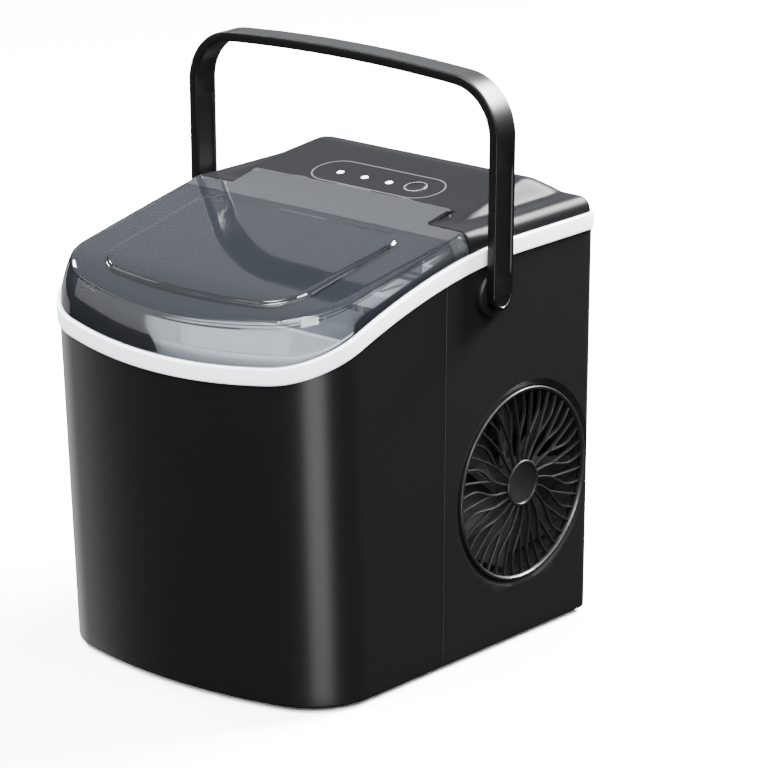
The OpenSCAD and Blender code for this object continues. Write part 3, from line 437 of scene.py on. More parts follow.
def build_lid():
    cols = lid_columns()
    shoulder = [c[1] for c in cols]
    base = [c[0] for c in cols]
    # the rear outline: left side back to the notch, round the tongue, and back to the right side
    rear_pts = []
    side = shoulder[0][0]
    corners = [(-side, LID_REAR), (-TONGUE_X, LID_REAR), (-TONGUE_X, TONGUE_Y),
               (TONGUE_X, TONGUE_Y), (TONGUE_X, LID_REAR), (side, LID_REAR)]
    radii = [0.0, 0.8, 2.0, 2.0, 0.8, 0.0]
    path = []
    for k, (x, y) in enumerate(corners):
        r = radii[k]
        if r == 0:
            path.append((x, y))
            continue
        px, py = corners[k - 1]
        qx, qy = corners[k + 1]
        a = Vector((px - x, py - y)).normalized()
        b = Vector((qx - x, qy - y)).normalized()
        for t in np.linspace(0, 1, 5):
            p = Vector((x, y)) + a * r * (1 - t) ** 2 + b * r * t ** 2
            path.append((p.x, p.y))
    for (x0, y0), (x1, y1) in zip(path, path[1:]):
        n = max(1, int(math.hypot(x1 - x0, y1 - y0) / 5.0))
        rear_pts += [(x0 + (x1 - x0) * t / n, y0 + (y1 - y0) * t / n) for t in range(1, n + 1)]
    rear_pts = rear_pts[:-1]
    verts, loops = [], []

    def add(points):
        loops.append(list(range(len(verts), len(verts) + len(points))))
        verts.extend(points)

    lip = 3.2
    rear_top = [(x, y, roof_z(y) + crown(x)) for x, y in rear_pts]
    full_top = shoulder + rear_top
    full_base = base + [(x, y, z - lip) for x, y, z in rear_top]
    # fascia, a little fuller in the middle than a straight line, then a small roll into the roof
    cx, cy = 0.0, 0.5 * (WIN_Y0 + WIN_Y1)
    add(full_base)
    for t in (0.06, 0.2, 0.36, 0.52, 0.68, 0.82, 0.93):
        ring = []
        for b, s in zip(full_base, full_top):
            bulge = 1.1 * math.sin(math.pi * t)
            ox, oy = b[0] - s[0], b[1] - s[1]
            l = math.hypot(ox, oy) or 1.0
            k = bulge / l if l > 2.0 else 0.0
            ring.append((b[0] + (s[0] - b[0]) * t + ox * k, b[1] + (s[1] - b[1]) * t + oy * k,
                         b[2] + (s[2] - b[2]) * t))
        add(ring)
    roll_small, roll_more, taper = 0.9, 3.6, 34.0
    for t in (0.0, 0.25, 0.5, 0.75, 1.0):
        ring = []
        for b, s in zip(full_base, full_top):
            roll = roll_small + roll_more * min(1.0, max(0.0, LID_REAR - s[1]) / taper)
            dx, dy = cx - s[0], cy - s[1]
            l = math.hypot(dx, dy)
            ux, uy = dx / l, dy / l
            drop = roll * (1 - t) ** 2
            x, y = s[0] + ux * roll * t ** 2, s[1] + uy * roll * t ** 2
            slope_in = roof_z(y) + crown(x) - s[2]
            ring.append((x, y, s[2] - drop * (0.55 if b[2] < s[2] - 4 else 0.3) + slope_in * t))
        add(ring)
    outer = [verts[i] for i in loops[-1]]
    angles = [math.atan2(p[1] - cy, p[0] - cx) for p in outer]
    win = [window_point(a) for a in angles]
    for t in (0.06, 0.16, 0.3, 0.45, 0.6, 0.75, 0.88, 0.95):
        add([(p[0] + (w[0] - p[0]) * t, p[1] + (w[1] - p[1]) * t, 0.0) for p, w in zip(outer, win)])
    # raised window panel with a narrow rounded step
    step, rise = WIN_STEP, 1.5
    for t in (0.0, 0.18, 0.4, 0.6, 0.82, 1.0):
        ring = []
        for w in win:
            shrink = 1 - t * step / math.hypot(w[0] - cx, w[1] - cy)
            height = rise * (3 * t * t - 2 * t ** 3)
            ring.append(((w[0] - cx) * shrink + cx, (w[1] - cy) * shrink + cy, height))
        add(ring)
    inner = [verts[i] for i in loops[-1]]
    for t in (0.04, 0.1, 0.2, 0.32, 0.46, 0.6, 0.74, 0.87):
        add([(p[0] + (cx - p[0]) * t, p[1] + (cy - p[1]) * t, rise) for p in inner])
    first = loops[13][0]
    verts[first:] = [(x, y, roof_z(y) + crown(x) + z) for x, y, z in verts[first:]]
    verts.append((cx, cy, roof_z(cy) + crown(0.0) + rise))
    n = len(full_top)
    faces = []
    for a, b in zip(loops, loops[1:]):
        faces += [(a[k], a[(k + 1) % n], b[(k + 1) % n], b[k]) for k in range(n)]
    faces += [(loops[-1][k], loops[-1][(k + 1) % n], len(verts) - 1) for k in range(n)]
    obj = new_object("lid_glass", verts, faces, 28.0)
    if sum(p.normal.z * p.area for p in obj.data.polygons) < 0:
        obj.data.flip_normals()
    mod = obj.modifiers.new("wall", "SOLIDIFY")
    mod.thickness = 2.0 * MM
    mod.offset = -1.0
    return settle(obj, 28.0)


lid = build_lid()

# ---------------------------------------------------------------- rear cover

COVER_INSET = 0.9
EAR_Y = 15.6
NOTCH_X, NOTCH_Y = 78.0, 40.4
ROLL_IN, ROLL_DOWN = 9.0, 9.6


def smooth_min(a, b, k):
    h = np.clip(0.5 + 0.5 * (b - a) / k, 0.0, 1.0)
    return b + (a - b) * h - k * h * (1.0 - h)


def cover_height(x, y, e):
    """Top of the rear cover at (x, y), e in from its outline: rolled edge, flat ears, sloping panel."""
    flat = ROOF_Z + 0.2
    t = np.clip((e - COVER_INSET) / ROLL_IN, 0.0, 1.0)
    edge = flat - ROLL_DOWN * (1.0 - np.sqrt(np.maximum(0.0, 1.0 - (1.0 - t) ** 2)))
    ax = np.abs(x)
    side = (91.5 - ax) * 1.15
    rear = (129.5 - y) * 0.62
    rise = 0.16 * (y - 25.0)
    bump = smooth_min(smooth_min(rise, side, 3.0), rear, 9.0)
    bump = np.maximum(0.0, 0.5 * (bump + np.sqrt(bump * bump + 1.2)) - 0.06)
    return edge + bump * np.clip(t * 1.3, 0.0, 1.0) ** 0.5


def cover_half_width(y):
    """Half-width of the outline at y, at the cover's base."""
    r, cy = REAR_R - COVER_INSET, HALF_D - REAR_R
    hw = HALF_W - COVER_INSET
    if y <= cy:
        return hw
    d = min(r, y - cy)
    return hw - r + math.sqrt(max(0.0, r * r - d * d))


def edge_distance(x, y):
    """Distance in from the case's outline, rear half."""
    r, cx, cy = REAR_R, HALF_W - REAR_R, HALF_D - REAR_R
    dx, dy = abs(x) - cx, y - cy
    if dx > 0 and dy > 0:
        return r - math.hypot(dx, dy)
    return min(HALF_W - abs(x), HALF_D - y)


def build_cover():
    lead = [COVER_INSET + ROLL_IN * (1 - math.cos(a)) for a in np.linspace(0, math.pi / 2, 12)]
    near_notch = (0.12, 0.4, 0.9)
    xs = [HALF_W - e for e in lead]
    xs += list(np.linspace(NOTCH_X, HALF_W - 9.9, 14)[:-1]) + list(np.linspace(0, NOTCH_X, 40))
    xs = sorted({round(x, 3) for x in xs})
    xs = [-x for x in reversed(xs[1:])] + xs
    ys = [EAR_Y] + [EAR_Y + d for d in near_notch] + list(np.linspace(EAR_Y + 2.5, NOTCH_Y, 13))
    ys += [NOTCH_Y + d for d in near_notch]
    ys += list(np.linspace(NOTCH_Y + 2.4, HALF_D - 9.9, 48)) + [HALF_D - e for e in reversed(lead[:-1])]
    full = HALF_W - COVER_INSET
    verts, index = [], {}
    for j, y in enumerate(ys):
        k = cover_half_width(y) / full
        for i, x in enumerate(xs):
            px = x * k
            e = edge_distance(px, y)
            z = float(cover_height(np.float64(px), np.float64(y), np.float64(e)))
            # the front edges of the ears and of the notch are slightly rounded
            if y < EAR_Y + 1.0:
                z -= 0.8 * (1 - math.sqrt(max(0.0, 1 - (1 - (y - EAR_Y) / 0.9) ** 2)))
            if abs(px) < NOTCH_X + 0.05 and NOTCH_Y - 0.01 <= y < NOTCH_Y + 1.0:
                z -= 0.8 * (1 - math.sqrt(max(0.0, 1 - (1 - (y - NOTCH_Y) / 0.9) ** 2)))
            index[i, j] = len(verts)
            verts.append((px * (1.0 - DRAFT * (256.0 - z) / HALF_W), y, z))
    faces = []
    for j in range(len(ys) - 1):
        for i in range(len(xs) - 1):
            if ys[j + 1] <= NOTCH_Y + 0.01 and max(abs(xs[i]), abs(xs[i + 1])) <= NOTCH_X + 0.01:
                continue
            faces.append((index[i, j], index[i + 1, j], index[i + 1, j + 1], index[i, j + 1]))
    # straight skirt down to the band, round the outline and down the front edges
    used = {}
    for f in faces:
        for a, b in zip(f, f[1:] + f[:1]):
            used[(a, b)] = used.get((a, b), 0) + 1
    border = [(a, b) for (a, b) in used if (b, a) not in used]
    below = {}
    for a, b in border:
        for v in (a, b):
            if v not in below:
                x, y, z = verts[v]
                outer = abs(x) > HALF_W - 1.6 or y > HALF_D - 1.2
                low = band_z(y) + BAND_H + 0.15 if outer else z - 7.5
                below[v] = len(verts)
                verts.append((x, y, low))
        faces.append((b, a, below[a], below[b]))
    mesh_faces = [tuple(f) for f in faces]
    obj = new_object("rear_cover_skin", verts, mesh_faces, 32.0)
    if sum(p.normal.z * p.area for p in obj.data.polygons) < 0:
        obj.data.flip_normals()
    mod = obj.modifiers.new("wall", "SOLIDIFY")
    mod.thickness = 2.0 * MM
    mod.offset = -1.0
    return settle(obj, 32.0)


PANEL_TILT = math.atan(0.16)


def panel_frame(x0, y0):
    """Places a turned form on the sloping panel: its height runs along the panel's normal."""
    c, s = math.cos(PANEL_TILT), math.sin(PANEL_TILT)
    z0 = panel_z(y0) + 0.14
    return lambda u, v, h: (x0 + u, y0 + v * c - h * s, z0 + v * s + h * c)


BUTTON = (30.4, 61.2)
LEDS = (("led_left", -28.0), ("led_middle", -8.6), ("led_right", 10.8))
LED_Y = 59.7

cover = build_cover()
cutters = [turned("hole_button", [(0, -9), (6.55, -9), (6.55, 4), (0, 4)], panel_frame(*BUTTON), 64)]
for led_name, led_x in LEDS:
    cutters.append(turned(f"hole_{led_name}", [(0, -9), (2.55, -9), (2.55, 4), (0, 4)],
                          panel_frame(led_x, LED_Y), 40))
cut(cover, join("panel_cutter", cutters), 32.0)

RING_PROFILE = [(6.6, -2.4), (7.1, -2.4), (7.1, 0.12), (7.05, 0.3), (6.85, 0.38), (6.66, 0.34), (6.6, 0.2)]
CAP_PROFILE = [(0, 0.42), (2.5, 0.44), (4.6, 0.52), (5.5, 0.62), (5.85, 0.6), (6.05, 0.42), (6.1, 0.1),
               (6.1, -3.4), (2.0, -3.5), (2.0, -6.6), (0, -6.6)]
LENS_PROFILE = [(0, 0.28), (1.3, 0.24), (2.1, 0.12), (2.42, -0.1), (2.5, -0.4), (2.5, -2.6), (0, -2.6)]

ring = turned("button_ring_bright", RING_PROFILE, panel_frame(*BUTTON), 96, close=True)
cap = turned("power_button_cap", CAP_PROFILE, panel_frame(*BUTTON), 96)
lamps = [turned(f"{n}_lens", LENS_PROFILE, panel_frame(x, LED_Y), 48) for n, x in LEDS]


def stadium_line(name, half_x, r, width, x0, y0, height):
    """Fine raised line round the controls."""
    f = panel_frame(x0, y0)
    verts = []
    pts = []
    for side in (1, -1):
        middle = 0.0 if side > 0 else math.pi
        for a in np.linspace(middle - math.pi / 2, middle + math.pi / 2, 33):
            c, s = math.cos(a), math.sin(a)
            pts.append((side * (half_x - r) + r * c, r * s, c, s))
    edge = ((-width / 2, -0.3), (-width / 2, height * 0.6), (-width / 4, height))
    section = edge + tuple((-d, h) for d, h in reversed(edge))
    for x, y, nx, ny in pts:
        for d, h in section:
            verts.append(f(x + nx * d, y + ny * d, h))
    return new_object(name, verts, grid_faces(len(pts), 6, close_rows=True, close_cols=True))


film = stadium_line("control_outline", 48.5, 15.5, 0.9, 1.5, 60.5, 0.16)

# ---------------------------------------------------------------- handle

PIVOT = (34.5, 226.0)
STRAP_W, STRAP_T = 18.0, 6.2
TOP_OUT, FOOT_OUT = 121.4, 120.4
GRIP_TOP = 359.1
CROWN_R = 1250.0


def strap_path():
    """(x, z, nx, nz) along the strap's outer face, from the right foot over to the left one."""
    r = 35.0
    corner_z = GRIP_TOP - 3.0 - r
    pts = []
    for z in np.linspace(PIVOT[1], corner_z, 26)[:-1]:
        t = (z - PIVOT[1]) / (corner_z - PIVOT[1])
        pts.append((FOOT_OUT + (TOP_OUT - FOOT_OUT) * t, z, 1.0, 0.0))
    cx = TOP_OUT - r
    crown_c = GRIP_TOP - CROWN_R
    lean_a = math.acos(cx / (CROWN_R - r))
    cz = crown_c + (CROWN_R - r) * math.sin(lean_a)
    for a in np.linspace(0.0, lean_a, 22):
        pts.append((cx + r * math.cos(a), cz + r * math.sin(a), math.cos(a), math.sin(a)))
    for a in np.linspace(lean_a, math.pi / 2, 26)[1:]:
        pts.append((CROWN_R * math.cos(a), crown_c + CROWN_R * math.sin(a), math.cos(a), math.sin(a)))
    return pts + [(-x, z, -nx, nz) for x, z, nx, nz in reversed(pts[:-1])]


def strap_section(groove):
    """Cross-section as (across, depth below the outer face), closed; groove is the channel's depth."""
    w, t, r = STRAP_W / 2, STRAP_T, 1.0
    lip = 2.3
    pts = []
    pts += [(-w + lip + 0.5, groove), (-w + lip, groove * 0.35), (-w + lip - 0.5, 0.0)]
    pts += [(-w + r - r * math.sin(a), r - r * math.cos(a)) for a in np.linspace(0, math.pi / 2, 5)]
    pts += [(-w + r - r * math.cos(a), t - r + r * math.sin(a)) for a in np.linspace(0, math.pi / 2, 5)]
    pts += [(-w + lip + 0.2, t), (-w + lip + 0.8, t - 0.7 * min(1.0, groove * 2))]
    right = [(-x, d) for x, d in reversed(pts)]
    return pts + right


def build_handle():
    path = strap_path()
    cols = []
    for x, z, nx, nz in path:
        below_grip = min(1.0, max(0.0, (GRIP_TOP - 38.0 - z) / 22.0))
        above_eye = min(1.0, max(0.0, (z - PIVOT[1] - 6.0) / 8.0))
        legs = below_grip * above_eye
        cols.append([(x - nx * d, PIVOT[0] + a, z - nz * d) for a, d in strap_section(0.05 + 0.75 * legs)])
    n = len(cols[0])
    verts = [p for c in cols for p in c]
    faces = grid_faces(len(cols), n, close_cols=True)
    faces += [tuple(range(n)), tuple(reversed(range((len(cols) - 1) * n, len(cols) * n)))]
    strap = new_object("strap", verts, faces)
    parts = [strap]
    prof = [(0.0, -STRAP_T), (8.0, -STRAP_T), (8.7, -STRAP_T + 0.3), (9.0, -STRAP_T + 1.0), (9.0, -1.0),
            (8.7, -0.3), (8.0, 0.0), (6.6, 0.0), (6.2, -0.45), (0.0, -0.5)]
    for s in (-1, 1):
        eye = turned("eye", prof, lambda u, v, h, s=s: (s * (FOOT_OUT + h), PIVOT[0] + u, PIVOT[1] + v), 72)
        # only the lower half of the eye is needed below the strap
        bm = bmesh.new()
        bm.from_mesh(eye.data)
        geom = bm.verts[:] + bm.edges[:] + bm.faces[:]
        res = bmesh.ops.bisect_plane(bm, geom=geom, plane_co=(0, 0, PIVOT[1] * MM + 0.0002),
                                     plane_no=(0, 0, 1), clear_outer=True)
        edges = [e for e in res["geom_cut"] if isinstance(e, bmesh.types.BMEdge)]
        bmesh.ops.contextual_create(bm, geom=edges)
        bm.to_mesh(eye.data)
        bm.free()
        shade(eye)
        parts.append(eye)
    return join("carry_handle", parts)


handle = build_handle()


def boss_form(name, s):
    prof = [(0.0, 5.5), (4.2, 5.4), (4.5, 5.0), (4.5, 3.7), (12.2, 3.7), (13.2, 3.4), (13.8, 2.6),
            (14.0, 1.4), (14.0, -0.4), (10.0, -0.5), (10.0, -4.2), (0.0, -4.2)]
    return turned(name, prof, lambda u, v, h: (s * (HALF_W + h), PIVOT[0] + u, PIVOT[1] + v), 96)


bosses = {s: boss_form(f"handle_boss_{n}_form", s) for s, n in ((-1, "left"), (1, "right"))}

# ---------------------------------------------------------------- fan grille

RIBS = 21
FORK_R, FORK_DEG, HUB_R = 29.0, -7.0, 14.3


def arm_angle(kind, r):
    if kind == "stem":
        return FORK_DEG * (r - HUB_R) / (FORK_R - HUB_R)
    f = math.sin(math.radians(min(90.0, max(0.0, (r - FORK_R) * 5.0))))
    if kind == "a":
        return FORK_DEG - 8.5 * f + 0.0108 * max(0.0, r - 40.0) ** 2
    return FORK_DEG + 1.2 * f + 0.004 * max(0.0, r - 36.0) ** 2


def rib_bar(rows, width, x_back, x_front):
    """A rib with a rounded front edge, along points (r, angle)."""
    pts = [(r * math.cos(math.radians(t)), r * math.sin(math.radians(t))) for r, t in rows]
    verts = []
    for i, p in enumerate(pts):
        a, b = pts[max(0, i - 1)], pts[min(len(pts) - 1, i + 1)]
        dx, dy = b[0] - a[0], b[1] - a[1]
        l = math.hypot(dx, dy)
        nx, ny = -dy / l, dx / l
        w = width / 2
        edge = ((-w, x_back), (-w, x_front - 0.5), (-w * 0.72, x_front - 0.15))
        for d, h in (*edge, (0.0, x_front), *((-u, v) for u, v in reversed(edge))):
            verts.append((p[0] + nx * d, p[1] + ny * d, h))
    n = 7
    faces = grid_faces(len(pts), n, close_cols=True)
    faces += [tuple(range(n)), tuple(reversed(range((len(pts) - 1) * n, len(pts) * n)))]
    return verts, faces


def build_grille():
    base_x = side_x(FAN_Z)
    place = side_frame(base_x, FAN_Y, FAN_Z)
    rim = [(GRILLE_R + d, h) for d, h in ((-2.6, -3.4), (0.0, -3.4), (0.0, -0.2), (-0.3, 0.25),
                                          (-1.0, 0.5), (-1.7, 0.3), (-2.1, -0.3), (-2.6, -1.2))]
    hub = [(HUB_R + d, h) for d, h in ((-1.9, -3.4), (0.0, -3.4), (0.0, -0.9), (-0.4, -0.5),
                                       (-1.0, -0.4), (-1.6, -0.6), (-1.9, -1.2))]
    disc = [(0.0, -2.9), (4.0, -2.7), (8.0, -2.2), (11.0, -1.6), (12.6, -1.5), (12.6, -3.2), (0.0, -3.6)]
    parts = [turned("rim", rim, place, 144, close=True),
             turned("hub_ring", hub, place, 96, close=True),
             turned("hub_disc", disc, place, 96)]
    arms = {"stem": np.linspace(HUB_R - 0.6, FORK_R + 0.3, 7),
            "a": np.linspace(FORK_R - 0.3, GRILLE_R - 1.6, 13),
            "b": np.linspace(FORK_R - 0.3, GRILLE_R - 1.6, 11)}
    verts, faces = [], []
    for k in range(RIBS):
        turn = 360.0 * k / RIBS
        for kind, radii in arms.items():
            v, f = rib_bar([(r, arm_angle(kind, r) + turn) for r in radii], 1.25, -3.2, -0.9)
            n = len(verts)
            verts += [place(*p) for p in v]
            faces += [tuple(n + i for i in q) for q in f]
    parts.append(new_object("ribs", verts, faces, 40.0))
    return join("fan_grille_form", parts, 40.0)


grille = build_grille()

# ---------------------------------------------------------------- materials


GRAIN_DEPTH = 0.00005
ROUGH_VARY = 0.08


def material(name, colour, rough, metallic=0.0, spec=0.5, vary=0.08, grain=900.0, bump=0.05):
    """Principled material with fine grain, slow colour drift and uneven gloss, in object coordinates."""
    mat = bpy.data.materials.new(name)
    mat.use_nodes = True
    nt = mat.node_tree
    nt.nodes.clear()
    out = nt.nodes.new("ShaderNodeOutputMaterial")
    b = nt.nodes.new("ShaderNodeBsdfPrincipled")
    nt.links.new(b.outputs["BSDF"], out.inputs["Surface"])
    b.inputs["Metallic"].default_value = metallic
    b.inputs["Specular IOR Level"].default_value = spec
    tc = nt.nodes.new("ShaderNodeTexCoord")
    slow = nt.nodes.new("ShaderNodeTexNoise")
    slow.inputs["Scale"].default_value = 14.0
    slow.inputs["Detail"].default_value = 3.0
    fine = nt.nodes.new("ShaderNodeTexNoise")
    fine.inputs["Scale"].default_value = grain
    fine.inputs["Detail"].default_value = 2.0
    for n in (slow, fine):
        nt.links.new(tc.outputs["Object"], n.inputs["Vector"])
    ramp = nt.nodes.new("ShaderNodeMix")
    ramp.data_type = "RGBA"
    ramp.inputs[6].default_value = (*[c * (1 - vary) for c in colour], 1)
    ramp.inputs[7].default_value = (*[min(1.0, c * (1 + vary)) for c in colour], 1)
    nt.links.new(slow.outputs["Fac"], ramp.inputs[0])
    nt.links.new(ramp.outputs[2], b.inputs["Base Color"])
    rr = nt.nodes.new("ShaderNodeMapRange")
    rr.inputs["From Min"].default_value = 0.3
    rr.inputs["From Max"].default_value = 0.7
    rr.inputs["To Min"].default_value = max(0.02, rough * (1 - ROUGH_VARY))
    rr.inputs["To Max"].default_value = min(1.0, rough * (1 + ROUGH_VARY))
    nt.links.new(fine.outputs["Fac"], rr.inputs["Value"])
    nt.links.new(rr.outputs["Result"], b.inputs["Roughness"])
    bp = nt.nodes.new("ShaderNodeBump")
    bp.inputs["Strength"].default_value = bump
    bp.inputs["Distance"].default_value = GRAIN_DEPTH
    nt.links.new(fine.outputs["Fac"], bp.inputs["Height"])
    nt.links.new(bp.outputs["Normal"], b.inputs["Normal"])
    return mat


def smoked_glass(name, share=0.24, tint=(0.63, 0.65, 0.68), base=(0.02, 0.022, 0.026),
                 strip=0.0):
    """Clear smoke-grey plastic: what is behind shows through darkened, with a polished surface on top."""
    mat = bpy.data.materials.new(name)
    mat.use_nodes = True
    nt = mat.node_tree
    nt.nodes.clear()
    out = nt.nodes.new("ShaderNodeOutputMaterial")
    clear = nt.nodes.new("ShaderNodeBsdfTransparent")
    clear.inputs["Color"].default_value = (*tint, 1)
    gloss = nt.nodes.new("ShaderNodeBsdfPrincipled")
    gloss.inputs["Base Color"].default_value = (*base, 1)
    gloss.inputs["IOR"].default_value = 2.4
    fres = nt.nodes.new("ShaderNodeFresnel")
    fres.inputs["IOR"].default_value = 1.45
    tc = nt.nodes.new("ShaderNodeTexCoord")
    noise = nt.nodes.new("ShaderNodeTexNoise")
    noise.inputs["Scale"].default_value = 30.0
    noise.inputs["Detail"].default_value = 2.0
    nt.links.new(tc.outputs["Object"], noise.inputs["Vector"])
    wave = nt.nodes.new("ShaderNodeBump")
    wave.inputs["Strength"].default_value = 0.06
    wave.inputs["Distance"].default_value = 0.0001
    nt.links.new(noise.outputs["Fac"], wave.inputs["Height"])
    nt.links.new(wave.outputs["Normal"], gloss.inputs["Normal"])
    haze = nt.nodes.new("ShaderNodeMapRange")
    haze.inputs["To Min"].default_value = 0.03
    haze.inputs["To Max"].default_value = 0.07
    nt.links.new(noise.outputs["Fac"], haze.inputs["Value"])
    nt.links.new(haze.outputs["Result"], gloss.inputs["Roughness"])
    part = nt.nodes.new("ShaderNodeMath")
    part.operation = "MULTIPLY_ADD"
    part.use_clamp = True
    part.inputs[1].default_value = 1.0
    part.inputs[2].default_value = share
    nt.links.new(fres.outputs["Fac"], part.inputs[0])
    if strip:
        # the strip behind the window is hazier and lighter than the rest
        place = nt.nodes.new("ShaderNodeSeparateXYZ")
        nt.links.new(tc.outputs["Object"], place.inputs[0])
        behind = nt.nodes.new("ShaderNodeMapRange")
        behind.inputs["From Min"].default_value = (WIN_Y1 + 7.0) * MM
        behind.inputs["From Max"].default_value = (WIN_Y1 + 8.0) * MM
        behind.inputs["To Min"].default_value = share
        behind.inputs["To Max"].default_value = share + strip
        nt.links.new(place.outputs["Y"], behind.inputs["Value"])
        nt.links.new(behind.outputs["Result"], part.inputs[2])
    mix = nt.nodes.new("ShaderNodeMixShader")
    nt.links.new(part.outputs["Value"], mix.inputs["Fac"])
    nt.links.new(clear.outputs["BSDF"], mix.inputs[1])
    nt.links.new(gloss.outputs["BSDF"], mix.inputs[2])
    nt.links.new(mix.outputs["Shader"], out.inputs["Surface"])
    return mat


M = {
    "case": material("case_black", (0.0028, 0.0028, 0.0029), 0.34, spec=0.26, grain=1500.0, bump=0.12),
    "case_side": material("case_black_side", (0.003, 0.003, 0.0031), 0.4, spec=0.2, grain=1500.0, bump=0.12),
    "cover": material("cover_black", (0.004, 0.004, 0.0045), 0.34, spec=0.035, grain=1500.0, bump=0.1),
    "handle": material("handle_black", (0.0014, 0.0014, 0.0014), 0.32, spec=0.22, grain=1200.0, bump=0.12),
    "band": material("band_white", (0.86, 0.89, 0.93), 0.3, spec=0.5, vary=0.01, grain=600.0, bump=0.02),
    "grille": material("grille_black", (0.004, 0.004, 0.0045), 0.34, spec=0.4, grain=1200.0, bump=0.1),
    "film": material("outline_grey", (0.05, 0.05, 0.055), 0.3, spec=0.4),
    "silver": material("ring_silver", (0.9, 0.9, 0.92), 0.3, metallic=1.0, vary=0.03, grain=400.0),
    "lens": material("lens_milky", (0.86, 0.88, 0.92), 0.3, spec=0.5, vary=0.01),
    "liner": material("liner_grey", (0.62, 0.64, 0.67), 0.45, spec=0.4, grain=700.0),
    "basket": material("basket_grey", (0.72, 0.74, 0.77), 0.35, spec=0.5, grain=500.0),
    "white": material("white_plastic", (0.70, 0.72, 0.75), 0.4, spec=0.4, grain=600.0),
    "dark": material("dark_plastic", (0.008, 0.008, 0.009), 0.5, spec=0.25, grain=800.0),
    "rubber": material("rubber_black", (0.012, 0.012, 0.012), 0.8, spec=0.2, grain=700.0, bump=0.2),
    "hose": material("hose_clear", (0.62, 0.65, 0.67), 0.3, spec=0.5),
    "steel": material("steel_zinc", (0.55, 0.56, 0.58), 0.35, metallic=1.0, grain=500.0),
    "alu": material("fins_aluminium", (0.62, 0.64, 0.66), 0.4, metallic=1.0, grain=400.0),
    "nickel": material("nickel_plate", (0.68, 0.68, 0.66), 0.2, metallic=1.0, grain=300.0),
    "enamel": material("black_enamel", (0.012, 0.012, 0.012), 0.25, spec=0.5, grain=300.0),
    "copper": material("copper_tube", (0.72, 0.36, 0.2), 0.3, metallic=1.0, vary=0.12, grain=300.0),
    "board": material("board_green", (0.015, 0.16, 0.05), 0.35, spec=0.5, grain=300.0),
    "lid": smoked_glass("lid_smoke", share=0.13, tint=(0.87, 0.885, 0.9), strip=0.28),
    # painted shade: a much darker smoke for the window's step, standing in for the dark outline the step
    # shows edge-on
    "window_step_painted_shade": smoked_glass("window_step_painted_shade_smoke", share=0.3, tint=(0.16, 0.17, 0.19),
                             base=(0.004, 0.004, 0.005)),
}

piece(front, "case", M["case"], ["front_shell"])
piece(rear, "case", M["case_side"], ["rear_shell"])
piece(band, "case", M["band"], ["trim_band"])
piece(lid, "lid", M["lid"], ["lid"])
# the step round the window gets the darker smoke, painted shade for its dark outline
lid.data.materials.append(M["window_step_painted_shade"])
for face in lid.data.polygons:
    face.material_index = step_painted_shade_zone(face.center, face.normal)
piece(cover, "case", M["cover"], ["top_cover"])
piece(ring, "case", M["silver"], ["button_ring"])
piece(cap, "button", M["cover"], ["power_button"])
for (n, x), o in zip(LEDS, lamps):
    piece(o, "case", M["lens"], [n])
piece(film, "case", M["film"], ["control_film"])
piece(handle, "handle", M["handle"], ["handle"])
for s, n in ((-1, "left"), (1, "right")):
    piece(bosses[s], "case", M["case_side"], [f"handle_boss_{n}"])
piece(grille, "case", M["grille"], ["fan_grille"])

CAD_FINISH = {
    "black_case": "case_side", "white_trim": "band", "grey_pan": "dark", "rubber": "rubber",
    "rubber_clear": "hose", "steel": "steel", "silver_ring": "silver", "led_lens": "lens",
    "circuit_board": "board", "aluminium_fins": "alu", "nickel_plate": "nickel",
    "black_steel": "enamel", "copper": "copper", "liner_plastic": "liner",
    "basket_plastic": "basket", "white_plastic": "white", "panel_film": "film", "smoked_lid": "lid",
}
for sub in frame["record"]["subparts"]:
    node = NODES[sub["node"]]
    node.data.materials.clear()
    node.data.materials.append(M[CAD_FINISH[sub["material_slot"]]])

# ---------------------------------------------------------------- floor and light

FLOOR_WHITE = 1.55
SKY_LOW, SKY_HIGH = 0.10, 1.3
floor_mesh = bpy.data.meshes.new("floor")
floor_mesh.from_pydata([(-6, -6, 0), (6, -6, 0), (6, 6, 0), (-6, 6, 0)], [], [(0, 1, 2, 3)])
floor = bpy.data.objects.new("floor", floor_mesh)
bpy.context.scene.collection.objects.link(floor)
floor_mat = bpy.data.materials.new("floor_white")
floor_mat.use_nodes = True
ft = floor_mat.node_tree
ft.nodes.clear()
f_out = ft.nodes.new("ShaderNodeOutputMaterial")
f_diff = ft.nodes.new("ShaderNodeBsdfDiffuse")
f_path = ft.nodes.new("ShaderNodeLightPath")
f_clear = ft.nodes.new("ShaderNodeBsdfTransparent")
f_mix = ft.nodes.new("ShaderNodeMixShader")
f_diff.inputs["Color"].default_value = (FLOOR_WHITE, FLOOR_WHITE, FLOOR_WHITE * 1.02, 1)
ft.links.new(f_path.outputs["Is Camera Ray"], f_mix.inputs["Fac"])
ft.links.new(f_clear.outputs["BSDF"], f_mix.inputs[1])
ft.links.new(f_diff.outputs["BSDF"], f_mix.inputs[2])
ft.links.new(f_mix.outputs["Shader"], f_out.inputs["Surface"])
floor.data.materials.append(floor_mat)

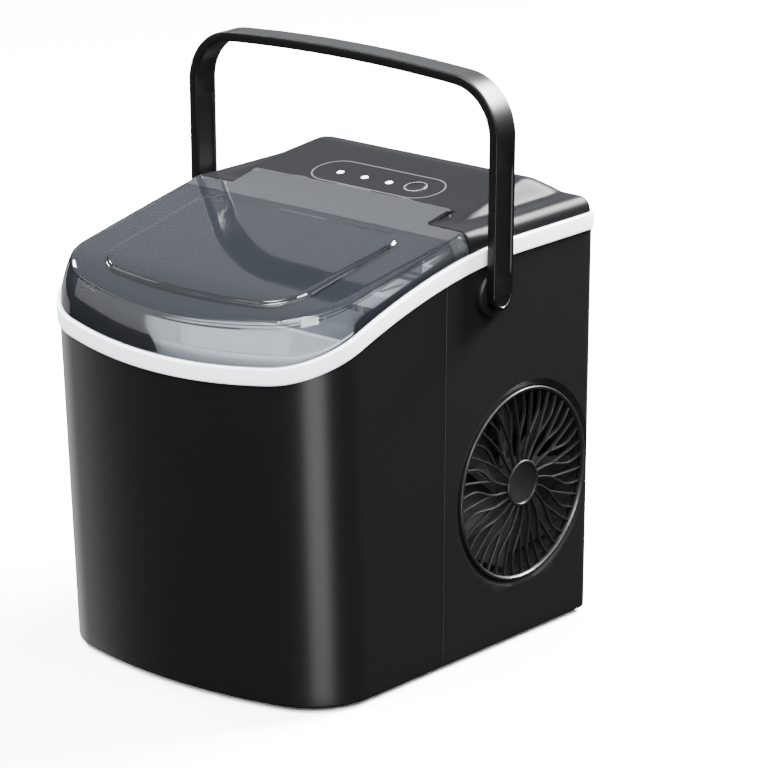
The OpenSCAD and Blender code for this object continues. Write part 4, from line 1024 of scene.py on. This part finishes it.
world = bpy.data.worlds.new("studio")
bpy.context.scene.world = world
world.use_nodes = True
wt = world.node_tree
sky_coord = wt.nodes.new("ShaderNodeTexCoord")
sky_split = wt.nodes.new("ShaderNodeSeparateXYZ")
sky_ramp = wt.nodes.new("ShaderNodeMapRange")
sky_ramp.interpolation_type = "SMOOTHSTEP"
sky_ramp.inputs["From Min"].default_value = 0.0
sky_ramp.inputs["From Max"].default_value = 0.32
sky_ramp.inputs["To Min"].default_value = SKY_LOW
sky_ramp.inputs["To Max"].default_value = SKY_HIGH
wt.links.new(sky_coord.outputs["Generated"], sky_split.inputs[0])
wt.links.new(sky_split.outputs["Z"], sky_ramp.inputs["Value"])
wt.links.new(sky_ramp.outputs["Result"], wt.nodes["Background"].inputs["Strength"])
wt.nodes["Background"].inputs["Color"].default_value = (0.93, 0.96, 1.0, 1)


def soft_light(name, azimuth, elevation, distance, size, power):
    """A square soft box round the object; azimuth 0 is in front, 90 on the grille's side."""
    data = bpy.data.lights.new(name, "AREA")
    data.shape = "RECTANGLE"
    data.size, data.size_y = size
    data.energy = power
    lamp = bpy.data.objects.new(name, data)
    bpy.context.scene.collection.objects.link(lamp)
    a, e = math.radians(azimuth), math.radians(elevation)
    d = Vector((math.sin(a) * math.cos(e), -math.cos(a) * math.cos(e), math.sin(e)))
    lamp.location = Vector((0, 0, 0.15)) + d * distance
    lamp.rotation_mode = "QUATERNION"
    lamp.rotation_quaternion = (-d).to_track_quat("-Z", "Y")
    return lamp


soft_light("key", -15, 62, 2.4, (1.2, 1.2), 180)
soft_light("shade", -95, 30, 2.6, (0.5, 0.5), 160)
soft_light("fill", 40, 34, 2.6, (1.2, 0.8), 110)
soft_light("side", 90, 50, 2.6, (1.0, 0.8), 90)
soft_light("fascia", -26, 16, 3.0, (5.0, 1.2), 44)
soft_light("corner", 58, -16, 2.6, (1.3, 1.1), 46)
soft_light("left_edge", -92, -19, 2.6, (1.9, 1.5), 18)
soft_light("rear", 164, 38, 2.4, (1.2, 0.8), 620)
